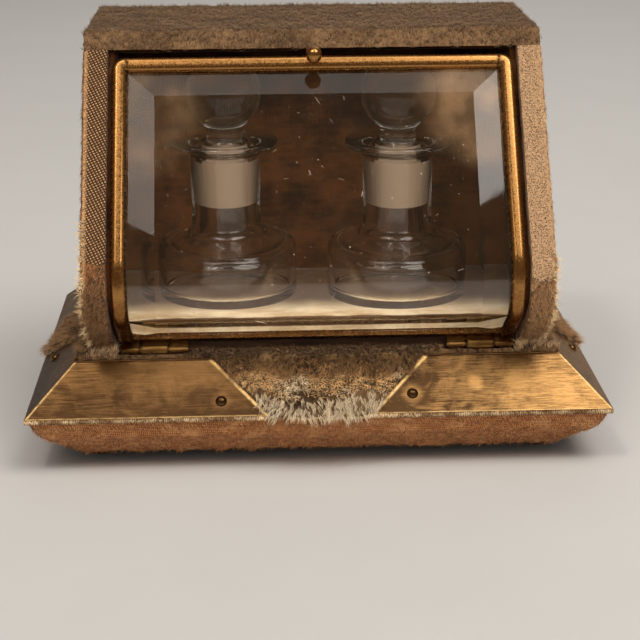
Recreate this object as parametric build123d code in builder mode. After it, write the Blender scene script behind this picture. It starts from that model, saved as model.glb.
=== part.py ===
"""Scent casket: plush-covered case on a splayed plinth, with a bent glass door that falls forward.

Millimetres. The origin is under the middle of the box, on the table. +Z is up and -Y is the front.
"""

import os
from math import cos, radians, sin, sqrt

from build123d import *

os.makedirs("parts", exist_ok=True)

# Plinth: a splayed slope above the lip and a rounded band that turns in below it
lip_width = 177.0
lip_depth = 115.0
foot_height = 3.4
base_cloth = 0.5
band_height = 14.6
band_shoulder_drop = 7.0
band_shoulder_inset = 2.2
band_foot_inset = 9.0
band_foot_round = 9.0
band_shoulder_round = 4.0
lip_round = 0.8
slope_inset = 14.3
slope_rise = 13.0
rail_width = 34.0
rail_cover = 0.8
bottom_thickness = 3.0

# Feet
foot_radius = 6.5
foot_waist_radius = 5.0
foot_spigot_radius = 2.0
foot_spigot_length = 6.0
foot_inset = 20.0

# Brass corner plates and their pins
plate_thickness = 0.6
plate_front_apart = 32.2
plate_side_apart = 11.0
plate_end_lean = 17.2
pin_from_tip = 12.2
pin_up_share = 0.31
stray_pin_from_tip = 13.9
stray_pin_up_share = 0.24
pin_head_radius = 1.75
pin_head_height = 1.2
pin_shank_radius = 0.6
pin_length = 7.0

# Plush and selvedge on the plinth
slope_pile = 1.6
patch_gap = 0.3
front_ledge = 0.8
front_ledge_reach = 4.0
front_ledge_end_gap = 1.2
selvedge_height = 1.5
selvedge_thickness = 0.7

# Case boards and covers
case_side_setback = 4.0
case_cover = 1.2
board_thickness = 5.0
case_back_setback = 17.0
back_thickness = 4.0
floor_thickness = 3.0
pad_thickness = 2.2
top_thickness = 4.0
case_height = 95.5
side_lining = 3.2
back_lining_thickness = 2.5
roof_lining_thickness = 2.0
cover_turn_in = 3.9
pad_setback = 0.4
pad_round = 1.2
roof_round = 1.0
lining_gap = 0.3
floor_gap = 0.3

# Door: its side line runs down from the top, round the bend and back under to the hinge
door_side_gap = 1.2
lower_angle = 142.5
upper_angle = 54.0
bend_radius = 17.0
lower_length = 15.5
door_top_gap = 1.5
frame_face = 4.7
frame_depth = 4.2
frame_lip = 2.2
frame_round = 1.9
frame_corner = 4.0
foot_rail_sink = 1.2
foot_rail_face = 3.0
rebate_width = 1.7
frame_match = 0.05
pane_play = 0.1
pane_thickness = 3.0
pane_edge = 1.0
pane_bevel = 10.0
strip_thickness = 0.6

# Hinges
hinge_setback = 2.85
hinge_from_edge = 11.2
knuckle_radius = 1.75
outer_knuckle = 5.6
middle_knuckle = 8.4
knuckle_gap = 0.3
knuckle_lift = 0.2
leaf_thickness = 0.7
hinge_drop = 1.9
leaf_reach = 6.2
leaf_clearance = 0.5
pintle_radius = 0.7
pintle_fit = 0.05
pintle_overhang = 0.4
nail_radius = 0.45
nail_head_radius = 0.9
nail_head_height = 0.4
nail_head_round = 0.28
nail_length = 3.0
nail_spread = 7.0

# Catch and pull at the top of the door
stud_radius = 0.8
stud_ball_radius = 1.1
stud_length = 6.0
stud_drop = 1.8
stud_root = 1.2
clip_gap = 0.25
clip_thickness = 0.6
clip_length = 3.6
clip_grip = 1.6
clip_plate_width = 11.0
knob_radius = 2.5
knob_neck_radius = 1.1
knob_neck_height = 1.8
knob_root = 1.4

# Scent bottles and stoppers
bottle_radius = 22.8
bottle_heel_round = 1.5
bottle_wall = 2.2
bottle_base = 3.4
bottle_shoulder_height = 19.5
bottle_shoulder_round = 3.0
shoulder_rise = 2.4
neck_flare = 3.4
neck_radius = 11.2
neck_foot_height = 26.0
neck_top_height = 48.4
mouth_radius = 17.0
mouth_thickness = 2.2
mouth_bevel = 1.2
mouth_rise = 4.6
bottle_standoff = 0.3
bore_top_radius = 7.6
bore_low_radius = 6.6
plug_sink = 2.1
plug_low_height = 31.8
plug_fit = 0.05
plug_round = 1.4
plug_shoulder = 0.9
stopper_neck_radius = 5.8
ball_over_neck = 18.9
ball_radius = 11.8
ball_rise = 9.3
ball_shoulder_round = 6.0
left_bottle_place = (-28.2, 0.9)
right_bottle_place = (27.4, -2.2)

# Levels and lines that follow from the sizes
lip_z = foot_height + base_cloth + band_height
ridge_z = lip_z + slope_rise
front_y = -lip_depth / 2
ridge_y = front_y + slope_inset
ridge_half_width = lip_width / 2 - slope_inset
ridge_half_depth = lip_depth / 2 - slope_inset
plate_front_length = (lip_width - plate_front_apart) / 2
plate_side_length = (lip_depth - plate_side_apart) / 2
case_half_width = ridge_half_width - case_side_setback
case_back_y = lip_depth / 2 - case_back_setback
board_back_y = case_back_y - case_cover
back_front_y = board_back_y - back_thickness
floor_z = ridge_z + floor_thickness
pad_z = floor_z + pad_thickness
top_z = ridge_z + case_height - top_thickness - case_cover
roof_z = top_z - roof_lining_thickness
board_outer_x = case_half_width - case_cover
board_inner_x = board_outer_x - board_thickness
lining_inner_x = board_inner_x - side_lining
cover_inner_x = board_inner_x - case_cover
door_half_width = cover_inner_x - door_side_gap
hinge_x = door_half_width - hinge_from_edge

# The slope's unit normal, as run outwards and rise upwards
slope_length = sqrt(slope_inset**2 + slope_rise**2)
normal_out = slope_rise / slope_length
normal_up = slope_inset / slope_length

# The door's side line, in the plane of Y and Z
low_way = Vector(cos(radians(lower_angle)), sin(radians(lower_angle)))
low_in = Vector(sin(radians(lower_angle)), -cos(radians(lower_angle)))
up_way = Vector(cos(radians(upper_angle)), sin(radians(upper_angle)))
up_in = Vector(sin(radians(upper_angle)), -cos(radians(upper_angle)))
middle_angle = radians((lower_angle + upper_angle) / 2)
middle_in = Vector(sin(middle_angle), -cos(middle_angle))
hinge_y = ridge_y + hinge_setback
hinge_z = ridge_z + knuckle_lift + knuckle_radius
hinge_axis = Vector(hinge_y, hinge_z)
door_foot = hinge_axis - low_way * (knuckle_radius - leaf_thickness) + low_in * hinge_drop
bend_start = door_foot + low_way * lower_length
bend_centre = bend_start + low_in * bend_radius
bend_end = bend_centre - up_in * bend_radius
upper_length = (top_z - door_top_gap - bend_end.Y) / up_way.Y
door_head = bend_end + up_way * upper_length
pane_back = frame_depth - strip_thickness
pane_front = pane_back - pane_thickness
lining_depth = frame_depth + lining_gap
hinge_half_length = middle_knuckle / 2 + knuckle_gap + outer_knuckle
floor_front_y = hinge_y + leaf_reach + floor_gap
pad_front_y = floor_front_y + pad_setback
lining_back_y = back_front_y - back_lining_thickness
bottle_foot_z = pad_z + bottle_standoff
bottle_height = neck_top_height + mouth_rise
plug_top_height = neck_top_height - plug_sink
ball_centre_height = neck_top_height + ball_over_neck


def front_line(depth, low_end, high_end):
    """Draws the door's side line at a depth behind its face, between two points given as (Y, Z)."""
    points = (
        low_end,
        bend_start + low_in * depth,
        bend_centre - middle_in * (bend_radius - depth),
        bend_end + up_in * depth,
        high_end,
    )
    foot, start, middle, end, head = [(point.X, point.Y) for point in points]
    Line(foot, start)
    ThreePointArc(start, middle, end)
    Line(end, head)


def cap_middle(radius, height):
    """Gives a point half way up a round cap of a base radius and a height that stands on zero."""
    ball = (radius**2 + height**2) / (2 * height)
    across = radius / 2
    return across, height - ball + sqrt(ball**2 - across**2)


def low_point(depth, shift):
    """Gives the point at a depth and a distance up from the door's foot."""
    return door_foot + low_way * shift + low_in * depth


def high_point(depth, shift):
    """Gives the point at a depth and a distance up from the door's head."""
    return door_head + up_way * shift + up_in * depth


def low_point_at(depth, level):
    """Gives the point of the lower line, carried on downwards, at a level."""
    start = low_point(depth, 0)
    return start + low_way * ((level - start.Y) / low_way.Y)


def high_point_at(depth, level):
    """Gives the point of the upper line, carried on upwards, at a level."""
    start = high_point(depth, 0)
    return start + up_way * ((level - start.Y) / up_way.Y)


def bent_slab(half_width, outer, inner, low_trim, high_trim):
    """Makes a slab that follows the door, between two depths and short of each end by a trim."""
    with BuildPart() as slab:
        with BuildSketch(Plane.YZ):
            with BuildLine():
                front_line(outer, low_point(outer, low_trim), high_point(outer, -high_trim))
                front_line(inner, low_point(inner, low_trim), high_point(inner, -high_trim))
                Line(low_point(outer, low_trim), low_point(inner, low_trim))
                Line(high_point(outer, -high_trim), high_point(inner, -high_trim))
            make_face()
        extrude(amount=half_width, both=True)
    return slab.part


def case_slab(from_x, to_x, depth, low_level, high_level, back):
    """Makes a flat piece of the case's side outline, between two levels and up to a back line."""
    with BuildPart() as slab:
        with BuildSketch(Plane.YZ.offset(from_x)):
            with BuildLine():
                low_end = low_point_at(depth, low_level)
                high_end = high_point_at(depth, high_level)
                front_line(depth, low_end, high_end)
                Line(high_end, (back, high_level))
                Line((back, high_level), (back, low_level))
                Line((back, low_level), low_end)
            make_face()
        extrude(amount=to_x - from_x)
    return slab.part


def band_body(inset):
    """Makes the solid body of the band below the lip, smaller by an inset."""
    outlines = (
        (lip_z - band_height, band_foot_inset + inset, band_foot_round),
        (lip_z - band_shoulder_drop, band_shoulder_inset + inset, band_shoulder_round),
        (lip_z, inset, lip_round),
    )
    with BuildPart() as body:
        for level, drawn_in, rounding in outlines:
            with BuildSketch(Plane.XY.offset(level)):
                RectangleRounded(lip_width - 2 * drawn_in, lip_depth - 2 * drawn_in, rounding)
        loft(ruled=True)
    return body.part


def slope_body(swell):
    """Makes the solid body of the slope, swollen outwards along its normal."""
    shift = swell / normal_out
    with BuildPart() as body:
        with BuildSketch(Plane.XY.offset(lip_z)):
            Rectangle(lip_width + 2 * shift, lip_depth + 2 * shift)
        with BuildSketch(Plane.XY.offset(ridge_z)):
            Rectangle(2 * (ridge_half_width + shift), 2 * (ridge_half_depth + shift))
        loft(ruled=True)
    return body.part


def slope_plane(across, side_sign, along_x, up_share):
    """Gives a plane on the slope's face: across is its middle axis, along_x the place along the face."""
    out = (lip_depth if along_x else lip_width) / 2 - slope_inset * up_share
    level = lip_z + slope_rise * up_share
    if along_x:
        return Plane(
            origin=(across, side_sign * out, level),
            x_dir=(1, 0, 0),
            z_dir=(0, side_sign * normal_out, normal_up),
        )
    return Plane(
        origin=(side_sign * out, across, level),
        x_dir=(0, 1, 0),
        z_dir=(side_sign * normal_out, 0, normal_up),
    )


# The pin in the front of the left plate was driven lower and further out than the others
pin_side_y = plate_side_apart / 2 + pin_from_tip
pin_planes = [slope_plane(-plate_front_apart / 2 - stray_pin_from_tip, -1, True, stray_pin_up_share)]
for pin_side, pin_face in ((1, -1), (-1, 1), (1, 1)):
    pin_planes.append(
        slope_plane(pin_side * (plate_front_apart / 2 + pin_from_tip), pin_face, True, pin_up_share)
    )
for pin_side in (-1, 1):
    for pin_face in (-1, 1):
        pin_planes.append(slope_plane(pin_side * pin_side_y, pin_face, False, pin_up_share))
corners = {
    "front_left": (-1, -1),
    "front_right": (1, -1),
    "back_left": (-1, 1),
    "back_right": (1, 1),
}
foot_places = {
    word: (x_sign * (lip_width / 2 - foot_inset), y_sign * (lip_depth / 2 - foot_inset))
    for word, (x_sign, y_sign) in corners.items()
}
nail_y = hinge_y + leaf_reach - nail_head_radius - leaf_clearance
nail_places = [
    (side * hinge_x + offset, nail_y, ridge_z)
    for side in (-1, 1)
    for offset in (-nail_spread, nail_spread)
]

# One domed pin, its head proud of the plate, standing on the origin
with BuildPart() as plate_pin:
    with BuildSketch(Plane.XZ):
        with BuildLine():
            head_base = plate_thickness
            head_top = plate_thickness + pin_head_height
            Polyline((0, head_top), (0, -pin_length), (pin_shank_radius, -pin_length + pin_shank_radius))
            Line((pin_shank_radius, -pin_length + pin_shank_radius), (pin_shank_radius, head_base))
            Line((pin_shank_radius, head_base), (pin_head_radius, head_base))
            cap_across, cap_up = cap_middle(pin_head_radius, pin_head_height)
            ThreePointArc(
                (pin_head_radius, head_base),
                (cap_across, head_base + cap_up),
                (0, head_top),
            )
        make_face()
    revolve(axis=Axis.Z)

with BuildPart() as pin_hole:
    Cylinder(pin_shank_radius, 2 * pin_length)

with BuildPart() as plate_pins:
    with Locations(*pin_planes):
        add(plate_pin.part)

# One hinge nail with its round head
with BuildPart() as hinge_nail:
    Cylinder(nail_radius, nail_length, align=(Align.CENTER, Align.CENTER, Align.MAX))
    with Locations((0, 0, leaf_thickness)):
        Cylinder(nail_head_radius, nail_head_height, align=(Align.CENTER, Align.CENTER, Align.MIN))
    Cylinder(nail_radius, leaf_thickness, align=(Align.CENTER, Align.CENTER, Align.MIN))
    fillet(hinge_nail.faces().sort_by(Axis.Z)[-1].edges(), nail_head_round)

with BuildPart() as nail_hole:
    Cylinder(nail_radius, 2 * nail_length)

with BuildPart() as hinge_nails:
    with Locations(*nail_places):
        add(hinge_nail.part)

# One turned foot with the spigot that holds it in the rail
with BuildPart() as foot_turning:
    with BuildSketch(Plane.XZ):
        with BuildLine():
            spigot_top = foot_height + base_cloth + foot_spigot_length
            Polyline(
                (foot_waist_radius, 0),
                (0, 0),
                (0, spigot_top),
                (foot_spigot_radius, spigot_top),
                (foot_spigot_radius, foot_height),
                (foot_waist_radius, foot_height),
            )
            ThreePointArc(
                (foot_waist_radius, foot_height),
                (foot_radius, foot_height / 2),
                (foot_waist_radius, 0),
            )
        make_face()
    revolve(axis=Axis.Z)

with BuildPart() as spigot_holes:
    with Locations(*[(x, y, foot_height + base_cloth) for x, y in foot_places.values()]):
        Cylinder(foot_spigot_radius, 2 * foot_spigot_length)

# The wooden rails start as one ring and are mitred into four
with BuildPart() as rail_ring:
    add(band_body(rail_cover))
    add(slope_body(-rail_cover))
    Box(lip_width - 2 * rail_width, lip_depth - 2 * rail_width, 4 * ridge_z, mode=Mode.SUBTRACT)
    with Locations(*pin_planes):
        add(pin_hole.part, mode=Mode.SUBTRACT)
    with Locations(*nail_places):
        add(nail_hole.part, mode=Mode.SUBTRACT)
    add(spigot_holes.part, mode=Mode.SUBTRACT)


def mitred_rail(name, side_sign, along_x):
    """Cuts one rail out of the ring along the mitres at its two ends."""
    half_length = (lip_width if along_x else lip_depth) / 2
    half_other = (lip_depth if along_x else lip_width) / 2
    reach = rail_width + slope_inset
    outline = [
        (half_length + slope_inset, side_sign * (half_other + slope_inset)),
        (half_length - reach, side_sign * (half_other - reach)),
        (reach - half_length, side_sign * (half_other - reach)),
        (-half_length - slope_inset, side_sign * (half_other + slope_inset)),
    ]
    with BuildPart() as rail:
        add(rail_ring.part)
        with BuildSketch():
            with BuildLine():
                Polyline(*[(x, y) if along_x else (y, x) for x, y in outline], close=True)
            make_face()
        extrude(amount=2 * ridge_z, mode=Mode.INTERSECT)
    rail.part.label = name
    return rail.part


with BuildPart() as rail_cloth:
    add(band_body(0))
    add(slope_body(0))
    add(band_body(rail_cover), mode=Mode.SUBTRACT)
    add(slope_body(-rail_cover), mode=Mode.SUBTRACT)
    with Locations(*pin_planes):
        add(pin_hole.part, mode=Mode.SUBTRACT)
rail_cloth.part.label = "rail_cloth"

with BuildPart() as selvedge:
    with BuildSketch(Plane.XY.offset(lip_z - selvedge_height)):
        Rectangle(lip_width + 2 * selvedge_thickness, lip_depth + 2 * selvedge_thickness)
    extrude(amount=selvedge_height)
    add(band_body(0), mode=Mode.SUBTRACT)
selvedge.part.label = "lip_selvedge"

with BuildPart() as bottom_board:
    with BuildSketch(Plane.XY.offset(foot_height + base_cloth)):
        Rectangle(lip_width - 2 * rail_width, lip_depth - 2 * rail_width)
    extrude(amount=bottom_thickness)
bottom_board.part.label = "bottom_board"

with BuildPart() as base_sheet:
    with BuildSketch(Plane.XY.offset(foot_height)):
        RectangleRounded(
            lip_width - 2 * band_foot_inset - 2 * rail_cover,
            lip_depth - 2 * band_foot_inset - 2 * rail_cover,
            band_foot_round - rail_cover,
        )
    extrude(amount=base_cloth)
    add(spigot_holes.part, mode=Mode.SUBTRACT)
base_sheet.part.label = "base_cloth"


def corner_plate(name, x_sign, y_sign):
    """Folds one brass plate over a corner of the slope."""
    half_x = lip_width / 2
    half_y = lip_depth / 2
    over = 2 * plate_thickness
    lean = plate_end_lean / slope_inset
    outline = [
        (half_x + over, half_y + over),
        (half_x - plate_front_length + lean * -over, half_y + over),
        (half_x - plate_front_length + plate_end_lean, half_y - slope_inset),
        (half_x - slope_inset, half_y - slope_inset),
        (half_x - slope_inset, half_y - plate_side_length + plate_end_lean),
        (half_x + over, half_y - plate_side_length + lean * -over),
    ]
    with BuildPart() as plate:
        add(slope_body(plate_thickness))
        add(slope_body(0), mode=Mode.SUBTRACT)
        with BuildSketch():
            with BuildLine():
                Polyline(*[(x_sign * x, y_sign * y) for x, y in outline], close=True)
            make_face()
        extrude(amount=2 * ridge_z, mode=Mode.INTERSECT)
        with Locations(*pin_planes):
            add(pin_hole.part, mode=Mode.SUBTRACT)
    plate.part.label = name
    return plate.part


def plush_body(swell):
    """Makes the plinth's slope under plush, with the ledge on top of it."""
    shift = swell / normal_out
    with BuildPart() as body:
        add(slope_body(swell))
        with BuildSketch(Plane.XY.offset(ridge_z)):
            Rectangle(2 * (ridge_half_width + shift), 2 * (ridge_half_depth + shift))
        extrude(amount=swell)
    return body.part


def plush_patch(name, side_sign, along_x, plate_length, ledge_end, inner_line):
    """Cuts the plush between two plates, with the strip of ledge above it."""
    half_length = (lip_width if along_x else lip_depth) / 2
    half_other = (lip_depth if along_x else lip_width) / 2
    spread = 2 * slope_pile
    lean = plate_end_lean / slope_inset
    tip = half_length - plate_length - patch_gap
    ridge_tip = tip + plate_end_lean
    ridge_line = half_other - slope_inset
    half_outline = [
        (tip - lean * spread, half_other + spread),
        (ridge_tip, ridge_line),
        (ledge_end[0], ridge_line),
        (ledge_end[0], inner_line),
    ]
    other_half = [
        (-ledge_end[1], inner_line),
        (-ledge_end[1], ridge_line),
        (-ridge_tip, ridge_line),
        (lean * spread - tip, half_other + spread),
    ]
    outline = [(along, side_sign * across) for along, across in half_outline + other_half]
    with BuildPart() as patch:
        add(plush_body(slope_pile))
        add(slope_body(0), mode=Mode.SUBTRACT)
        with BuildSketch():
            with BuildLine():
                Polyline(*[(x, y) if along_x else (y, x) for x, y in outline], close=True)
            make_face()
        extrude(amount=2 * ridge_z, mode=Mode.INTERSECT)
    patch.part.label = name
    return patch.part


side_ledge_ends = (
    case_back_y + patch_gap,
    ridge_half_depth - front_ledge - patch_gap,
)
tongue_half = hinge_x - hinge_half_length - front_ledge_end_gap
corner_tongue_x = hinge_x + hinge_half_length + front_ledge_end_gap
corner_tongue_y = low_point_at(0, ridge_z + slope_pile).X - patch_gap

with BuildPart() as front_plush:
    add(
        plush_patch(
            "plinth_plush_front",
            -1,
            True,
            plate_front_length,
            (ridge_half_width, ridge_half_width),
            ridge_half_depth - front_ledge,
        )
    )
    with BuildSketch(Plane.XY.offset(ridge_z)):
        with Locations((0, ridge_y + front_ledge)):
            Rectangle(2 * tongue_half, front_ledge_reach, align=(Align.CENTER, Align.MIN))
        for side in (-1, 1):
            with Locations((side * (corner_tongue_x + case_half_width) / 2, ridge_y + front_ledge)):
                Rectangle(
                    case_half_width - corner_tongue_x,
                    corner_tongue_y - ridge_y - front_ledge,
                    align=(Align.CENTER, Align.MIN),
                )
    extrude(amount=slope_pile)
front_plush.part.label = "plinth_plush_front"

back_plush_patch = plush_patch(
    "plinth_plush_back",
    1,
    True,
    plate_front_length,
    (ridge_half_width, ridge_half_width),
    case_back_y + patch_gap,
)
side_plush_patches = [
    plush_patch(
        "plinth_plush_" + word,
        side,
        False,
        plate_side_length,
        side_ledge_ends,
        case_half_width + patch_gap,
    )
    for word, side in (("left", -1), ("right", 1))
]


def roof_slab(half_width, depth, low_level, high_level, back):
    """Makes a level slab over the case whose front edge leans with the door."""
    with BuildPart() as slab:
        with BuildSketch(Plane.YZ):
            with BuildLine():
                Polyline(
                    high_point_at(depth, low_level),
                    high_point_at(depth, high_level),
                    (back, high_level),
                    (back, low_level),
                    close=True,
                )
            make_face()
        extrude(amount=half_width, both=True)
    return slab.part


def side_slab(side, inner_x, outer_x, depth, low_level, back):
    """Makes a case slab on one side of the case, up to the top board."""
    near, far = sorted((side * inner_x, side * outer_x))
    return case_slab(near, far, depth, low_level, top_z, back)


def side_cover(word, side):
    """Wraps a side board's outer face and front edge in plush, turned in behind the edge."""
    with BuildPart() as cover:
        add(side_slab(side, cover_inner_x, case_half_width, 0, ridge_z, board_back_y))
        add(
            side_slab(side, board_inner_x, board_outer_x, case_cover, ridge_z, board_back_y),
            mode=Mode.SUBTRACT,
        )
        add(
            side_slab(side, cover_inner_x, board_inner_x, cover_turn_in, ridge_z, board_back_y),
            mode=Mode.SUBTRACT,
        )
    cover.part.label = "side_plush_" + word
    return cover.part


side_covers = [side_cover("left", -1), side_cover("right", 1)]
side_boards = []
side_linings = []
for word, side in (("left", -1), ("right", 1)):
    board = side_slab(side, board_inner_x, board_outer_x, case_cover, ridge_z, back_front_y)
    board.label = "side_board_" + word
    side_boards.append(board)
    lining = side_slab(side, lining_inner_x, board_inner_x, lining_depth, floor_z, back_front_y)
    lining.label = "side_lining_" + word
    side_linings.append(lining)


def upright_box(name, half_width, near_y, far_y, low_level, high_level):
    """Makes a plain board or sheet across the case."""
    with BuildPart() as sheet:
        with BuildSketch(Plane.XY.offset(low_level)):
            with Locations((0, near_y)):
                Rectangle(2 * half_width, far_y - near_y, align=(Align.CENTER, Align.MIN))
        extrude(amount=high_level - low_level)
    sheet.part.label = name
    return sheet.part


back_board = upright_box("back_board", board_outer_x, back_front_y, board_back_y, ridge_z, top_z)
back_cover = upright_box("back_plush", case_half_width, board_back_y, case_back_y, ridge_z, top_z)
back_lining = upright_box("back_lining", lining_inner_x, lining_back_y, back_front_y, floor_z, top_z)

with BuildPart() as floor_board:
    add(upright_box("floor_blank", board_inner_x, floor_front_y, back_front_y, ridge_z, floor_z))
    for cover in side_covers:
        add(cover, mode=Mode.SUBTRACT)
floor_board.part.label = "floor_board"

with BuildPart() as floor_pad:
    add(upright_box("pad_blank", lining_inner_x, pad_front_y, lining_back_y, floor_z, pad_z))
    fillet(floor_pad.faces().sort_by(Axis.Z)[-1].edges(), pad_round)
    for lining in side_linings:
        add(lining, mode=Mode.SUBTRACT)
floor_pad.part.label = "floor_pad"

with BuildPart() as top_board:
    add(roof_slab(board_outer_x, case_cover, top_z, top_z + top_thickness, board_back_y))
top_board.part.label = "top_board"

with BuildPart() as top_cover:
    add(roof_slab(case_half_width, 0, top_z, top_z + top_thickness + case_cover, case_back_y))
    fillet(top_cover.faces().sort_by(Axis.Z)[-1].edges(), roof_round)
    add(top_board.part, mode=Mode.SUBTRACT)
top_cover.part.label = "top_plush"

# The catch: a ball-ended stud on the door and a spring clip under the top board
stud_start = high_point(frame_depth - stud_root, -stud_drop)
stud_turn = (stud_start - hinge_axis).normalized()
stud_way = Vector(stud_turn.Y, -stud_turn.X)
stud_plane = Plane(
    origin=(0, stud_start.X, stud_start.Y),
    x_dir=(1, 0, 0),
    z_dir=(0, stud_way.X, stud_way.Y),
)
stud_reach = stud_root + stud_length
with BuildPart() as catch_stud:
    with BuildSketch(stud_plane):
        Circle(stud_radius)
    extrude(amount=stud_reach)
    with Locations(stud_plane.offset(stud_reach).location):
        Sphere(stud_ball_radius)
catch_stud.part.label = "catch_stud"

stud_end = stud_start + stud_way * stud_reach
clip_far_y = stud_end.X + stud_ball_radius
clip_near_y = clip_far_y - clip_length
clip_low_z = stud_end.Y - stud_ball_radius - clip_grip
clip_inner_x = stud_ball_radius + clip_gap
with BuildPart() as catch_clip:
    with BuildSketch(Plane.XZ.offset(-clip_far_y)):
        with Locations((0, top_z)):
            Rectangle(clip_plate_width, clip_thickness, align=(Align.CENTER, Align.MAX))
        for side in (-1, 1):
            with Locations((side * (clip_inner_x + clip_thickness / 2), clip_low_z)):
                Rectangle(clip_thickness, top_z - clip_low_z, align=(Align.CENTER, Align.MIN))
    extrude(amount=clip_length)
catch_clip.part.label = "catch_clip"

with BuildPart() as roof_lining:
    add(roof_slab(lining_inner_x, lining_depth, roof_z, top_z, lining_back_y))
    with BuildSketch(Plane.XY.offset(roof_z)):
        with Locations((0, high_point_at(lining_depth, roof_z).X - pad_setback)):
            Rectangle(
                clip_plate_width + 2 * lining_gap,
                clip_far_y + lining_gap - high_point_at(lining_depth, roof_z).X + pad_setback,
                align=(Align.CENTER, Align.MIN),
            )
    extrude(amount=2 * roof_lining_thickness, mode=Mode.SUBTRACT)
roof_lining.part.label = "roof_lining"

# The pull knob stands square on the top rail of the door
knob_root_point = high_point(knob_root, -frame_face / 2)
knob_plane = Plane(
    origin=(0, knob_root_point.X, knob_root_point.Y),
    x_dir=(1, 0, 0),
    z_dir=(0, -up_in.X, -up_in.Y),
)
knob_neck_top = knob_root + knob_neck_height
knob_centre = knob_neck_top + sqrt(knob_radius**2 - knob_neck_radius**2)
knob_top = knob_centre + knob_radius
with BuildPart() as turned_knob:
    with BuildSketch(Plane.XZ):
        with BuildLine():
            Polyline((0, knob_top), (0, 0), (knob_neck_radius, 0), (knob_neck_radius, knob_neck_top))
            ThreePointArc(
                (knob_neck_radius, knob_neck_top),
                (knob_radius, knob_centre),
                (0, knob_top),
            )
        make_face()
    revolve(axis=Axis.Z)

with BuildPart() as door_knob:
    with Locations(knob_plane.location):
        add(turned_knob.part)
door_knob.part.label = "door_knob"

# The door's frame: half-round outside, with a rebate behind that takes the pane
low_axis = Axis((0, door_foot.X, door_foot.Y), (0, low_in.X, low_in.Y))
up_axis = Axis((0, door_head.X, door_head.Y), (0, up_in.X, up_in.Y))
window_half = door_half_width - frame_face
rebate_half = window_half + rebate_width
rebate_trim = frame_face - rebate_width
foot_trim = foot_rail_face - rebate_width
with BuildPart() as door_frame:
    add(bent_slab(door_half_width, 0, frame_depth, 0, 0))
    corner_edges = [
        edge
        for edge in door_frame.edges().filter_by(GeomType.LINE)
        if abs(edge.length - frame_depth) < frame_match
        and abs(abs(edge.center().X) - door_half_width) < frame_match
    ]
    fillet(corner_edges, frame_corner)
    add(
        bent_slab(window_half, -frame_lip, frame_depth + frame_lip, frame_face, frame_face),
        mode=Mode.SUBTRACT,
    )
    add(
        bent_slab(rebate_half, frame_lip, frame_depth + frame_lip, rebate_trim, rebate_trim),
        mode=Mode.SUBTRACT,
    )
    front_faces = [
        door_frame.faces().filter_by(low_axis).sort_by(low_axis)[0],
        door_frame.faces().filter_by(up_axis).sort_by(up_axis)[0],
        *door_frame.faces().filter_by(GeomType.CYLINDER).group_by(lambda face: face.radius)[-1],
    ]
    front_edges = [edge for face in front_faces for edge in face.edges()]
    rounded = [edge for edge in front_edges if sum(edge.is_same(other) for other in front_edges) == 1]
    fillet(rounded, frame_round)
    add(door_knob.part, mode=Mode.SUBTRACT)
    add(catch_stud.part, mode=Mode.SUBTRACT)
    # The rail at the foot is narrower and flatter, so that the door can fall forward
    add(
        bent_slab(window_half, -frame_lip, frame_depth + frame_lip, foot_rail_face, frame_face),
        mode=Mode.SUBTRACT,
    )
    add(
        bent_slab(rebate_half, frame_lip, frame_depth + frame_lip, foot_trim, rebate_trim),
        mode=Mode.SUBTRACT,
    )
    with BuildSketch(Plane.YZ):
        with BuildLine():
            Polyline(
                low_point(-frame_lip, -frame_lip),
                low_point(foot_rail_sink, -frame_lip),
                low_point(foot_rail_sink, frame_face + frame_lip),
                low_point(-frame_lip, frame_face + frame_lip),
                close=True,
            )
        make_face()
    extrude(amount=window_half, both=True, mode=Mode.SUBTRACT)
door_frame.part.label = "door_frame"

with BuildPart() as pane_strip:
    add(bent_slab(rebate_half, pane_back, frame_depth, foot_trim, rebate_trim))
    add(
        bent_slab(window_half, pane_back - frame_lip, frame_depth + frame_lip, foot_rail_face, frame_face),
        mode=Mode.SUBTRACT,
    )
pane_strip.part.label = "pane_strip"

# The pane is drawn along the door's line, then its two ends are ground down like its sides
pane_half = rebate_half - pane_play
pane_trim = rebate_trim + pane_play
pane_foot_trim = foot_trim + pane_play
pane_low = low_point(pane_back, pane_foot_trim)
pane_section_plane = Plane(
    origin=(0, pane_low.X, pane_low.Y),
    x_dir=(1, 0, 0),
    z_dir=(0, low_way.X, low_way.Y),
)
with BuildPart() as door_pane:
    with BuildLine(Plane.YZ):
        front_line(pane_back, pane_low, high_point(pane_back, -pane_trim))
    with BuildSketch(pane_section_plane):
        with BuildLine():
            Polyline(
                (-pane_half, 0),
                (-pane_half, -pane_edge),
                (pane_bevel - pane_half, -pane_thickness),
                (pane_half - pane_bevel, -pane_thickness),
                (pane_half, -pane_edge),
                (pane_half, 0),
                close=True,
            )
        make_face()
    sweep()
    with BuildSketch(Plane.YZ):
        with BuildLine():
            Polyline(
                low_point(pane_front, pane_foot_trim + pane_bevel),
                low_point(pane_back - pane_edge, pane_foot_trim),
                low_point(pane_front - pane_edge, pane_foot_trim - pane_edge),
                close=True,
            )
        make_face()
        with BuildLine():
            Polyline(
                high_point(pane_front, -pane_trim - pane_bevel),
                high_point(pane_back - pane_edge, -pane_trim),
                high_point(pane_front - pane_edge, pane_edge - pane_trim),
                close=True,
            )
        make_face()
    extrude(amount=door_half_width, both=True, mode=Mode.SUBTRACT)
door_pane.part.label = "door_pane"


def knuckle(centre_x, length, bore):
    """Makes one hinge knuckle round the hinge axis."""
    with BuildPart() as barrel:
        with BuildSketch(Plane.YZ.offset(centre_x - length / 2)):
            with Locations((hinge_y, hinge_z)):
                Circle(knuckle_radius)
                Circle(bore, mode=Mode.SUBTRACT)
        extrude(amount=length)
    return barrel.part


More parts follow.
